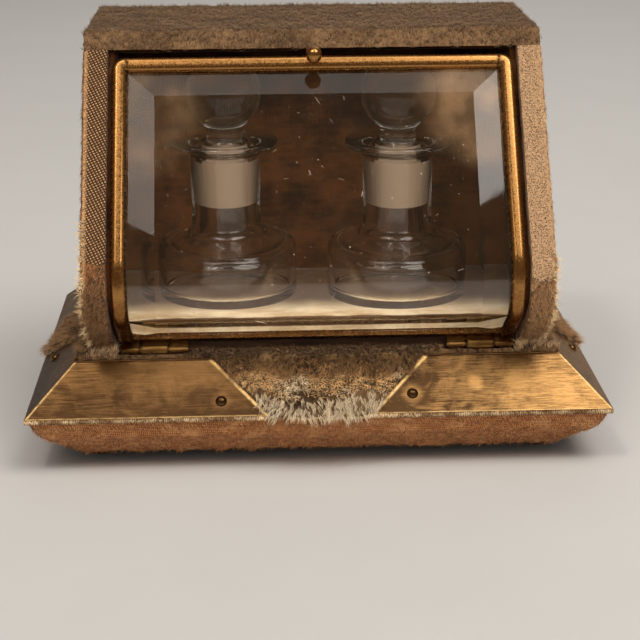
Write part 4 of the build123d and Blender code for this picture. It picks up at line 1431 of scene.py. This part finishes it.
@dataclass
class Case:
    """The case: its plush covers, its boards and its padded linings."""

    strip_outer: float = 70.2
    strip_density: float = 1.3
    frayed_rise: float = 12.0
    cover_density: float = 0.5
    side_lock: Lock = Lock(6, 0.8, 0.8, 1.4, 2.4, 0.12, 35, 6, 12)
    plain_lock: Lock = Lock(6, 0.8, 0.8, 1.4, 2.4, 0.085, 35, 6, 12)
    combed_lock: Lock = Lock(6, 0.6, 0.6, 1.6, 3.0, 0.12, 34, 4, 12)
    frayed_lock: Lock = Lock(6, 0.6, 1.2, 1.2, 2.8, 0.11, 60, 5, 30)
    cover_wrinkles: tuple[tuple[float, float], ...] = ((6.0, 0.2), (1.3, 0.12))
    lining_wrinkles: tuple[tuple[float, float], ...] = ((14.0, 0.35), (5.0, 0.12))
    bottle_paths: tuple[tuple[float, float, float], ...] = ((-28.2, -6.1, 9.4), (27.4, -6.2, 9.3))
    bottle_dent: float = 23.5
    worn_levels: dict[str, float] = field(default_factory=lambda: {"left": 64.0, "right": 58.0})
    hair_tones: dict[str, tuple[Colour, Colour, Colour]] = field(
        default_factory=lambda: {
            "left": (paint(48, 30, 17), paint(128, 92, 58), paint(184, 146, 104)),
            "right": (paint(66, 44, 26), paint(168, 126, 84), paint(228, 190, 146)),
        }
    )

    def build(self) -> None:
        """Builds every piece of the case."""
        self.side_covers()
        self.plain_covers()
        self.linings()
        self.floor_pad()
        self.boards()

    def side_covers(self) -> None:
        """Makes the two side covers, whose front edges show their worn weave."""
        finishes = {
            "left": WornStrip(
                "left_strip_weave",
                StripWeave.LATTICE,
                paint(196, 152, 106),
                paint(54, 34, 19),
                paint(138, 92, 54),
                paint(52, 32, 17),
                66.0,
                -1.0,
            ),
            "right": WornStrip(
                "right_strip_weave",
                StripWeave.GRAIN,
                paint(168, 134, 100),
                paint(50, 34, 22),
                paint(196, 152, 106),
                paint(92, 62, 38),
                56.0,
                1.0,
            ),
        }
        for number, (word, side) in enumerate((("left", -1), ("right", 1))):
            shell = remeshed(welded(f"side_plush_{word}"), 0.65)
            ruffled(shell, self.cover_wrinkles, 17.0 + number)
            hair = Pile(
                f"{word}_side_pile",
                *self.hair_tones[word],
                bleach_levels=(20.0, 10.0),
                dark_levels=(60.0, 20.0),
                darkening=0.35,
            ).material()

            def kept(place: Vector, way: Vector) -> float:
                return 1.0 if way.x * side > 0.7 and abs(place.x) > 69.6 * MM else 0.0

            chance = random.Random(81 + number)
            spots = []
            for place, way in scattered(shell, self.cover_density, 83 + number, kept):
                comb = Vector((0, noise.noise(place * 60) * 0.8 + chance.gauss(0, 0.25), -1))
                light = 0.5 + noise.noise(place * 120) * 0.45
                spots.append(Spot(place, way, comb, chance.uniform(0.7, 1.1), light))
            planter = Planter(self.side_lock, 85 + number)
            tufts = planter.tufts(spots, f"{word}_side_pile", "case_plush", hair)
            fringe = self.strip_hair(word, side, shell, hair)
            base = piece_from(
                shell,
                f"{word}_side_cover",
                Body.CASKET,
                [finishes[word].material()],
                [f"side_plush_{word}"],
            )

    def strip_hair(
        self, word: str, side: int, shell: bmesh.types.BMesh, hair: bpy.types.Material
    ) -> list[bpy.types.Object]:
        """Plants the hair that is left on the foot of a strip, and the frayed thread ends at its outer edge.

        Args:
            word: Which side.
            side: The sign of X on that side.
            shell: The side cover's mesh.
            hair: The side's hair material.

        Returns:
            The new pieces.
        """

        def kept(_: Vector, facing: Vector) -> float:
            return 1.0 if facing.y < -0.35 else 0.0

        chance = random.Random(181 + side)
        level = self.worn_levels[word] * MM
        combed, frayed = [], []
        for place, way in scattered(shell, self.strip_density, 183 + side, kept):
            light = 0.5 + noise.noise(place * 200) * 0.35 + chance.gauss(0, 0.15)
            wild = place.z + noise.noise(place * 90) * 6 * MM
            if wild < level and abs(place.x) < (self.strip_outer - 0.9) * MM:
                curve = noise.noise(place * 70) * 1.2
                comb = Vector((side * (0.4 + curve), -0.2, -1))
                combed.append(Spot(place, way, comb, chance.uniform(0.8, 1.2), light))
            elif abs(place.x) > (self.strip_outer - 1.3) * MM and wild < level + self.frayed_rise * MM:
                comb = Vector((side, 0, chance.gauss(0, 0.7)))
                frayed.append(Spot(place, way, comb, chance.uniform(0.7, 1.3), light))
        cream = Pile(
            f"{word}_frayed_ends",
            paint(170, 136, 94),
            paint(236, 208, 164),
            paint(250, 234, 200),
            darkening=0.0,
        ).material()
        return [
            Planter(self.combed_lock, 185).tufts(combed, f"{word}_strip_hair", "case_plush", hair),
            Planter(self.frayed_lock, 187).tufts(frayed, f"{word}_strip_fray", "case_plush", cream),
        ]

    def plain_covers(self) -> None:
        """Makes the plush on the back and the top."""
        felt = Felt("case_backing", paint(60, 42, 28), paint(120, 92, 64)).material()
        hair = Pile(
            "case_pile",
            paint(50, 35, 23),
            paint(124, 97, 68),
            paint(172, 146, 112),
            bleach_levels=(20.0, 10.0),
            dark_levels=(60.0, 20.0),
            darkening=0.35,
        ).material()
        ways = {
            "back": (Vector((0, 1, 0)), Vector((0, 0, -1)), "back_board", (0.14, 0.09)),
            "top": (UP, Vector((0, 1, 0)), "top_board", (0.15, 0.065)),
        }
        for number, (word, (normal, down, board, flat)) in enumerate(ways.items()):
            shell = remeshed(welded(f"{word}_plush"), 0.7)
            ruffled(shell, self.cover_wrinkles, 23.0 + number)
            across = down.cross(normal)

            def kept(place: Vector, way: Vector) -> float:
                return 1.0 if way.dot(normal) > 0.6 or (word == "top" and way.y < -0.4) else 0.0

            chance = random.Random(91 + number)
            spots = []
            for place, way in scattered(shell, self.cover_density, 93 + number, kept):
                comb = down + across * (noise.noise(place * 60) * 0.8 + chance.gauss(0, 0.25))
                light = 0.5 + noise.noise(place * 120) * 0.45
                spots.append(Spot(place, way, comb, chance.uniform(0.7, 1.1), light))
            planter = Planter(self.plain_lock, 95 + number)
            tufts = planter.tufts(spots, f"{word}_pile", "case_plush", hair)
            base = piece_from(
                shell, f"{word}_cover", Body.CASKET, [felt], [f"{word}_plush"]
            )

    def linings(self) -> None:
        """Makes the padded brown linings of the sides, the back and the roof."""
        silk = Silk("lining_silk", paint(74, 43, 20), paint(32, 18, 9), sheen=0.02).material()
        for number, node in enumerate(
            ("side_lining_left", "side_lining_right", "back_lining", "roof_lining")
        ):
            shell = remeshed(rounded_copy(node, 0.0), 0.9)
            ruffled(shell, self.lining_wrinkles, 29.0 + number)
            bmesh.ops.smooth_vert(
                shell, verts=shell.verts, factor=0.5, use_axis_x=True, use_axis_y=True, use_axis_z=True
            )
            base = piece_from(shell, f"{node}_silk", Body.CASKET, [silk], [node])

    def floor_pad(self) -> None:
        """Makes the cream pad, which stays low wherever the bottles slide."""
        shell = remeshed(welded("floor_pad"), 0.8)
        lo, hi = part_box("floor_pad")
        for vert in shell.verts:
            spot = vert.co / MM
            if vert.normal.z < 0.5:
                continue
            inset = min(spot.x - lo.x / MM, hi.x / MM - spot.x, spot.y - lo.y / MM, hi.y / MM - spot.y)
            free = min(
                math.hypot(spot.x - across, spot.y - min(max(spot.y, front), back)) - self.bottle_dent
                for across, front, back in self.bottle_paths
            )
            rise = 0.9 * min(max(free, 0.0) / 5.0, 1.0) * min(max(inset, 0.0) / 4.0, 1.0)
            crease = noise.noise(Vector((spot.x * 0.35, spot.y * 0.12, 0.0))) * 0.35
            vert.co.z += (rise * (0.6 + crease) - 0.15) * MM
        ruffled(shell, ((3.0, 0.06),), 37.0)
        # The pad is painted brown as shade towards its back and at its front edge.
        painted_shade = PaintedShade(-31.4, -26.0, -6.0, paint(70, 44, 24))
        silk = Silk("floor_silk", paint(236, 216, 180), paint(190, 160, 118), 0.5, 0.04, painted_shade).material()
        base = piece_from(shell, "floor_pad_silk", Body.CASKET, [silk], ["floor_pad"])

    def boards(self) -> None:
        """Gives the boards, rails and feet their wood."""
        pale = (paint(166, 128, 86), paint(112, 78, 48))
        # Painted shade: the front rail and the floor board are near black-brown to stand for the shadowed gap
        # under the door; the other rails share this dark stain.
        dark_stain_and_shade = (paint(52, 34, 20), paint(24, 15, 9))
        across, deep, upright = (0.06, 1, 1), (1, 0.06, 1), (1, 1, 0.06)
        grains = {
            "side_board_left": (pale, upright),
            "side_board_right": (pale, upright),
            "back_board": (pale, across),
            "top_board": (pale, across),
            "bottom_board": (pale, across),
            "rail_front": (dark_stain_and_shade, across),
            "rail_back": (dark_stain_and_shade, across),
            "rail_left": (dark_stain_and_shade, deep),
            "rail_right": (dark_stain_and_shade, deep),
            "floor_board": (dark_stain_and_shade, across),
        }
        for node, (colours, grain) in grains.items():
            self.dress(node, StainedWood(f"{node}_wood", *colours, grain).material())
        turned = StainedWood("foot_wood", paint(70, 46, 28), paint(30, 20, 13), (1, 1, 0.2)).material()
        for word in ("front_left", "front_right", "back_left", "back_right"):
            node = f"foot_{word}"
            piece_from(
                rounded_copy(node, 0.0), f"{word}_foot", Body.CASKET, [turned], [node]
            )

    @staticmethod
    def dress(node: str, material: bpy.types.Material) -> None:
        """Gives a CAD node that stays a material."""
        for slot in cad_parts[node].material_slots:
            slot.material = material


@dataclass
class Door:
    """The bent glass door: its brass frame, its bevelled pane, its hinges and its catch."""

    pane_half: float = 58.5
    foot_trim: float = 1.4
    pane_trim: float = 3.1
    pane_back: float = 3.6
    pane_edge: float = 1.0
    pane_thickness: float = 3.0
    bevel: float = 10.0
    bend_step: float = 0.9
    specks: int = 330
    axis: tuple[float, float] = (-40.35, 33.45)
    hinge_middle: float = 50.4
    middle_knuckle: float = 8.4
    knuckle: float = 1.75
    outer_share: float = 0.64

    def build(self) -> None:
        """Builds every piece of the door."""
        self.brass_frame()
        self.pane()
        self.dust()
        self.hinges()

    def brass_frame(self) -> None:
        """Makes the half-round brass frame, the strip inside it, the knob and the catch."""
        brass = AgedBrass(
            "frame_brass",
            paint(176, 128, 74),
            paint(124, 78, 38),
            paint(40, 25, 13),
            (0.2, 0.36),
            (0.5, 0.5, 0.5),
            0.42,
            dirt=0.5,
            # Painted shade: the frame is darker below its bend, where it reflects less light.
            darkening_ramp=("Z", 64.0, 46.0),
            seams=(56.9,),
            dents=0.03,
        ).material()
        for node, name in (("door_frame", "polished_frame"), ("pane_strip", "inner_strip")):
            shell = rounded_copy(node, 0.0, flat=0.4)
            piece_from(shell, name, Body.DOOR, [brass], [node], 32, True)
        piece_from(welded("door_knob"), "pull_knob", Body.DOOR, [brass], ["door_knob"], 50)
        wire = AgedBrass("wire_brass", gloss=(0.2, 0.36), dirt=0.2).material()
        piece_from(welded("catch_stud"), "catch_ball", Body.DOOR, [wire], ["catch_stud"], 50)
        clip = rounded_copy("catch_clip", 0.0)
        piece_from(clip, "catch_spring", Body.CASKET, [wire], ["catch_clip"], 32)

    def pane(self) -> None:
        """Makes the bevelled pane as a flat pattern and bends it onto the door's line."""
        low = self.foot_trim
        high = DOOR_LINE.length - self.pane_trim
        slab = bmesh.new()
        bmesh.ops.create_cube(slab, size=1.0)
        bmesh.ops.scale(slab, vec=(2 * self.pane_half, high - low, self.pane_edge), verts=slab.verts)
        bmesh.ops.translate(
            slab, vec=(0, (low + high) / 2, self.pane_back - self.pane_edge / 2), verts=slab.verts
        )
        slab.normal_update()
        face = min(slab.faces, key=lambda side: side.calc_center_median().z)
        bmesh.ops.inset_region(
            slab, faces=[face], thickness=self.bevel, use_even_offset=True, use_boundary=True
        )
        bmesh.ops.translate(slab, vec=(0, 0, self.pane_edge - self.pane_thickness), verts=face.verts)
        steps = int(DOOR_LINE.arc / self.bend_step)
        for step in range(steps + 1):
            level = DOOR_LINE.low_run + DOOR_LINE.arc * step / steps
            cut_through(slab, (0, level, 0), (0, 1, 0))
        DOOR_LINE.bend(slab)
        bmesh.ops.recalc_face_normals(slab, faces=slab.faces)
        # Patches at the tops of the side bevels: dust and painted reflection.
        dust_and_glare_patches = (((54.0, -24.0, 108.0), 26.0, 0.16), ((-54.0, -26.0, 104.0), 24.0, 0.07))
        glass = ClearGlass("pane_glass", dust=0.005, specks=0.05, wave=0.0, dust_and_glare_patches=dust_and_glare_patches).material()
        pane = piece_from(slab, "bevelled_pane", Body.DOOR, [glass], ["door_pane"], 4, True)
        pane.visible_shadow = False

    def dust(self) -> None:
        """Scatters grains of dust and lint over the outside of the pane."""
        blank = bmesh.new()
        bmesh.ops.create_icosphere(blank, subdivisions=1, radius=1.0)
        grain = settled(blank, "grain")
        chance = random.Random(101)
        layer = bmesh.new()
        front = self.pane_back - self.pane_thickness
        edge = self.pane_half - self.bevel
        low = self.foot_trim + self.bevel
        high = DOOR_LINE.length - self.pane_trim - self.bevel
        for _ in range(self.specks):
            across = chance.uniform(-edge, edge)
            along = chance.uniform(low, high)
            centre = DOOR_LINE.point(across, along, front)
            _, _, _, in_y, in_z = DOOR_LINE.mark(along)
            inward = Vector((0, in_y, in_z))
            size = chance.lognormvariate(-2.75, 0.45)
            lint = chance.random() < 0.1
            long_way = size * (chance.uniform(6, 16) if lint else chance.uniform(1.0, 1.8))
            side = Vector((1, 0, 0)).cross(inward)
            stand = Matrix((Vector((1, 0, 0)), side, inward)).transposed().to_4x4()
            spin = Matrix.Rotation(chance.uniform(0, math.pi), 4, "Z")
            width = size * (0.5 if lint else 1.0)
            shape = Matrix.Diagonal((long_way * MM, width * MM, size * 0.35 * MM, 1.0))
            copy = grain.copy()
            copy.transform(Matrix.Translation(centre) @ stand @ spin @ shape)
            absorb(layer, copy)
        powder = Felt("pane_dust", paint(160, 146, 124), paint(214, 202, 182), 3.0, 0.02).material()
        piece_from(layer, "pane_dust", Body.DOOR, [powder], (), 60)

    def thin_outer_knuckles(self, shell: bmesh.types.BMesh) -> None:
        """Draws the hinge's outer knuckles in a little, so that the middle one stands out."""
        slack = 0.1
        for vert in shell.verts:
            spot = vert.co / MM
            off = Vector((0.0, spot.y - self.axis[0], spot.z - self.axis[1]))
            outer = abs(abs(spot.x) - self.hinge_middle) > self.middle_knuckle / 2 + slack
            if outer and off.length < self.knuckle + slack:
                vert.co -= off * (1.0 - self.outer_share) * MM

    def hinges(self) -> None:
        """Dresses the leaves, pins and nails of the two hinges."""
        leaf = AgedBrass(
            "hinge_brass",
            paint(176, 134, 78),
            paint(112, 76, 38),
            paint(34, 22, 12),
            (0.3, 0.45),
            dirt=0.5,
            seams=(46.05, 54.75),
            dents=0.05,
        ).material()
        wire = AgedBrass(
            "pintle_brass", paint(196, 156, 96), paint(110, 76, 40), gloss=(0.24, 0.36)
        ).material()
        for word in ("left", "right"):
            for kind, body in (("fixed", Body.CASKET), ("door", Body.DOOR)):
                node = f"hinge_{kind}_leaf_{word}"
                shell = rounded_copy(node, 0.0, flat=0.4)
                self.thin_outer_knuckles(shell)
                piece_from(shell, f"{word}_{kind}_leaf", body, [leaf], [node], 35, True)
            node = f"hinge_pin_{word}"
            piece_from(welded(node), f"{word}_pintle", Body.CASKET, [wire], [node], 40)
        nails = welded("hinge_nails")
        piece_from(nails, "leaf_nails", Body.CASKET, [leaf], ["hinge_nails"], 45)


@dataclass
class ScentBottle:
    """A squat clear bottle with a ground stopper, turned as one profile each."""

    word: str
    place: tuple[float, float]
    bottle_body: Body
    stopper_body: Body
    foot: float = 37.0
    radius: float = 22.8
    wall: float = 2.2
    steps: int = 96

    def build(self) -> None:
        """Builds the bottle and its stopper."""
        self.bottle()
        self.stopper()

    def turned(self, outline: Sequence[tuple[float, float]]) -> bmesh.types.BMesh:
        """Turns an outline of radius and height round the bottle's middle.

        Args:
            outline: Points from the middle line and back to it, in millimetres.

        Returns:
            The closed mesh in its place.
        """
        shell = bmesh.new()
        verts = [shell.verts.new((radius, 0, height)) for radius, height in outline]
        edges = [shell.edges.new(pair) for pair in zip(verts, verts[1:])]
        bmesh.ops.spin(
            shell,
            geom=verts + edges,
            cent=(0, 0, 0),
            axis=(0, 0, 1),
            angle=2 * math.pi,
            steps=self.steps,
            use_merge=True,
        )
        bmesh.ops.remove_doubles(shell, verts=shell.verts, dist=1e-4)
        bmesh.ops.recalc_face_normals(shell, faces=shell.faces)
        place = Matrix.Translation((self.place[0] * MM, self.place[1] * MM, self.foot * MM))
        shell.transform(place @ Matrix.Diagonal((MM, MM, MM, 1.0)))
        return shell

    @staticmethod
    def arc(
        centre: tuple[float, float], radius: float, start: float, end: float, steps: int = 8
    ) -> list[tuple[float, float]]:
        """Gives points on an arc, in degrees from the outward way."""
        points = []
        for step in range(steps + 1):
            angle = math.radians(start + (end - start) * step / steps)
            points.append((centre[0] + radius * math.cos(angle), centre[1] + radius * math.sin(angle)))
        return points

    def grind(self, shell: bmesh.types.BMesh, low: float, high: float, inner: float, outer: float) -> None:
        """Gives the faces between two levels and two radii the ground finish."""
        centre = Vector((self.place[0], self.place[1]))
        for face in shell.faces:
            middle = face.calc_center_median() / MM
            if low < middle.z - self.foot < high and inner < (middle.xy - centre).length < outer:
                face.material_index = 1

    def bottle(self) -> None:
        """Blows the bottle: thick base, round shoulders, flared neck and a wide flat lip."""
        outer = self.radius
        inner = self.radius - self.wall
        outline = [(0.0, 0.25), (13.0, 0.25), (15.5, 0.0)]
        outline += self.arc((outer - 1.5, 1.5), 1.5, -90, 0, 6)
        outline += self.arc((outer - 3.0, 16.4), 3.0, 0, 84, 10)
        outline += self.arc((14.9, 25.3), 3.7, 250, 180, 8)
        outline += [(11.2, 30.0), (11.2, 40.0)]
        outline += self.arc((15.1, 47.0), 3.9, 180, 108, 8)
        outline += self.arc((15.9, 51.9), 1.1, -80, 90, 8)
        outline += [(12.0, 53.0), (8.8, 52.9)]
        outline += self.arc((8.8, 51.7), 1.2, 90, 180, 4)
        outline += [(7.6, 46.3), (6.6, 31.8), (6.6, 27.6)]
        outline += [(6.9, 24.6), (7.8, 22.8), (9.4, 21.0)]
        outline += [(12.0, 19.0), (15.0, 17.6)]
        outline += self.arc((inner - 3.0, 14.3), 3.0, 85, 0, 8)
        outline += self.arc((inner - 2.2, 5.4), 2.2, 0, -80, 6)
        outline += [(12.0, 3.3), (6.0, 3.5), (0.0, 3.6)]
        glass = ClearGlass(f"{self.word}_bottle_glass", dust=0.004, specks=0.02, wave=0.02).material()
        node = f"bottle_{self.word}"
        shell = self.turned(outline)
        self.grind(shell, 31.9, 46.2, 6.4, 7.8)
        ground = GroundGlass(f"{self.word}_ground_bore").material()
        obj = piece_from(
            shell, f"{self.word}_scent_bottle", self.bottle_body, [glass, ground], [node], 50
        )
        obj.visible_shadow = False

    def stopper(self) -> None:
        """Makes the stopper: a ground plug, a neck and a flattened ball."""
        outline = [(0.0, 32.0), (5.0, 31.8)]
        outline += self.arc((5.2, 33.2), 1.4, -80, -4, 5)
        outline += [(6.9, 37.8), (7.2, 42.3), (7.5, 46.0), (7.4, 46.7), (6.4, 47.3), (5.9, 48.0), (5.8, 51.0)]
        outline += [(5.8, 55.4), (6.2, 57.25)]
        for step in range(1, 9):
            angle = math.radians(-60 + 60 * step / 8)
            outline.append((11.8 * math.cos(angle), 67.3 + 11.8 * math.sin(angle)))
        for step in range(1, 16):
            angle = math.radians(90 * step / 16)
            outline.append((11.8 * math.cos(angle) ** 0.86, 67.3 + 9.3 * math.sin(angle) ** 0.94))
        outline.append((0.0, 76.6))
        shell = self.turned(outline)
        self.grind(shell, 32.4, 46.7, 5.6, 8.0)
        glass = ClearGlass(f"{self.word}_stopper_glass", dust=0.02, specks=0.04, wave=0.02).material()
        ground = GroundGlass(f"{self.word}_ground_glass").material()
        node = f"stopper_{self.word}"
        obj = piece_from(
            shell,
            f"{self.word}_glass_stopper",
            self.stopper_body,
            [glass, ground],
            [node],
            50,
        )
        obj.visible_shadow = False


@dataclass
class Studio:
    """The pale floor, the soft lamps and the camera."""

    lens: float = 87.19
    camera_place: Point = (-0.0172, -0.4888, 0.2058)
    pitch: float = 19.99
    yaw: float = 2.28
    roll: float = -0.27
    floor_half: float = 4.0
    reach: float = 1.3
    fill: float = 0.22
    dim: float = 0.15

    def build(self) -> None:
        """Sets everything up."""
        self.floor()
        self.lamps()
        self.world()
        self.camera()
        bpy.context.scene.view_settings.view_transform = "Standard"

    def floor(self) -> None:
        """Lays the floor."""
        sheet = bmesh.new()
        bmesh.ops.create_grid(sheet, x_segments=4, y_segments=4, size=self.floor_half)
        mesh = settled(sheet, "floor")
        mesh.materials.append(PaleFloor().material())
        in_scene("floor", mesh)

    def lamp(
        self, name: str, way: Point, size: tuple[float, float], glow: float, colour: Colour
    ) -> bpy.types.Object:
        """Hangs one soft lamp that looks at the casket.

        Args:
            name: The lamp's name.
            way: The way from the casket to the lamp.
            size: Its width and height, in metres.
            glow: How bright its face is.
            colour: The colour of its light.

        Returns:
            The lamp.
        """
        data = bpy.data.lights.new(name, "AREA")
        data.shape = "RECTANGLE"
        data.size, data.size_y = size
        data.energy = glow * math.pi * size[0] * size[1]
        data.color = colour
        lamp = in_scene(name, data)
        direction = Vector(way).normalized()
        lamp.location = direction * self.reach + Vector((0, 0, 0.06))
        lamp.rotation_euler = direction.to_track_quat("Z", "Y").to_euler()
        return lamp

    def lamps(self) -> None:
        """Hangs the lamps. The one in front shows in no glass or metal and spares the floor."""
        self.lamp("right_softbox", (0.374, -0.325, 0.869), (0.62, 0.62), 5.4, (1.0, 0.97, 0.93))
        self.lamp("left_softbox", (-0.345, -0.370, 0.8625), (0.55, 0.55), 2.6, (1.0, 0.93, 0.86))
        self.lamp("top_softbox", (0.05, -0.12, 1.0), (0.75, 0.6), 1.1, (1.0, 0.97, 0.93))
        self.lamp("back_softbox", (0.2, 0.9, 0.6), (0.8, 0.5), 1.0, (1.0, 0.98, 0.96))
        front = self.lamp("front_fill", (0.12, -0.9, 0.46), (0.9, 0.5), 13.5, (1.0, 0.93, 0.84))
        front.visible_glossy = False
        front.visible_transmission = False
        spared = bpy.data.collections.new("spared_by_front_fill")
        spared.objects.link(bpy.data.objects["floor"])
        front.light_linking.receiver_collection = spared
        spared.collection_objects[0].light_linking.link_state = "EXCLUDE"
        self.lamp("window", (-0.30, -0.38, 0.91), (0.12, 0.14), 26.0, (1.0, 0.98, 0.95))

    def world(self) -> None:
        """Makes a plain surround: pale where it is seen, dim and warm in metal and glass, soft as light."""
        world = bpy.data.worlds.new("surround")
        bpy.context.scene.world = world
        world.use_nodes = True
        tree = world.node_tree
        tree.nodes.clear()
        rays = tree.nodes.new("ShaderNodeLightPath")
        bent = tree.nodes.new("ShaderNodeMath")
        bent.operation = "MAXIMUM"
        tree.links.new(rays.outputs["Is Glossy Ray"], bent.inputs[0])
        tree.links.new(rays.outputs["Is Transmission Ray"], bent.inputs[1])
        out = tree.nodes.new("ShaderNodeOutputWorld")
        fill, mirrored, pale = (tree.nodes.new("ShaderNodeBackground") for _ in range(3))
        fill.inputs["Color"].default_value = (1.0, 0.985, 0.965, 1.0)
        fill.inputs["Strength"].default_value = self.fill
        mirrored.inputs["Color"].default_value = (1.0, 0.72, 0.45, 1.0)
        mirrored.inputs["Strength"].default_value = self.dim
        pale.inputs["Color"].default_value = (*paint(226, 222, 216), 1.0)
        inner, outer = (tree.nodes.new("ShaderNodeMixShader") for _ in range(2))
        tree.links.new(bent.outputs[0], inner.inputs[0])
        tree.links.new(fill.outputs[0], inner.inputs[1])
        tree.links.new(mirrored.outputs[0], inner.inputs[2])
        tree.links.new(rays.outputs["Is Camera Ray"], outer.inputs[0])
        tree.links.new(inner.outputs[0], outer.inputs[1])
        tree.links.new(pale.outputs[0], outer.inputs[2])
        tree.links.new(outer.outputs[0], out.inputs["Surface"])

    def camera(self) -> None:
        """Stands the camera where the photograph was taken from."""
        pitch, yaw, roll = (math.radians(angle) for angle in (self.pitch, self.yaw, self.roll))
        forward = Vector(
            (math.sin(yaw) * math.cos(pitch), math.cos(yaw) * math.cos(pitch), -math.sin(pitch))
        )
        right = Vector((math.cos(yaw), -math.sin(yaw), 0))
        up = right.cross(forward)
        turned_right = right * math.cos(roll) + up * math.sin(roll)
        turned_up = up * math.cos(roll) - right * math.sin(roll)
        data = bpy.data.cameras.new("camera")
        data.lens = self.lens
        data.sensor_width = 36.0
        data.clip_start = 0.01
        camera = in_scene("camera", data)
        turn = Matrix((turned_right, turned_up, -forward)).transposed().to_4x4()
        camera.matrix_world = Matrix.Translation(self.camera_place) @ turn
        bpy.context.scene.camera = camera


def corners(box: Sequence[Vector]) -> list[list[float]]:
    """Writes a box's two corners as plain lists."""
    return [list(corner) for corner in box]


def main() -> None:
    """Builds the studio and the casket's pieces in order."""
    logging.basicConfig(level=logging.INFO, format="%(name)s: %(message)s")
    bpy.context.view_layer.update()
    Studio().build()
    Plinth().build()
    Case().build()
    Door().build()
    ScentBottle("left", (-28.2, 0.9), Body.LEFT_BOTTLE, Body.LEFT_STOPPER).build()
    ScentBottle("right", (27.4, -2.2), Body.RIGHT_BOTTLE, Body.RIGHT_STOPPER).build()


if __name__ == "__main__":
    main()
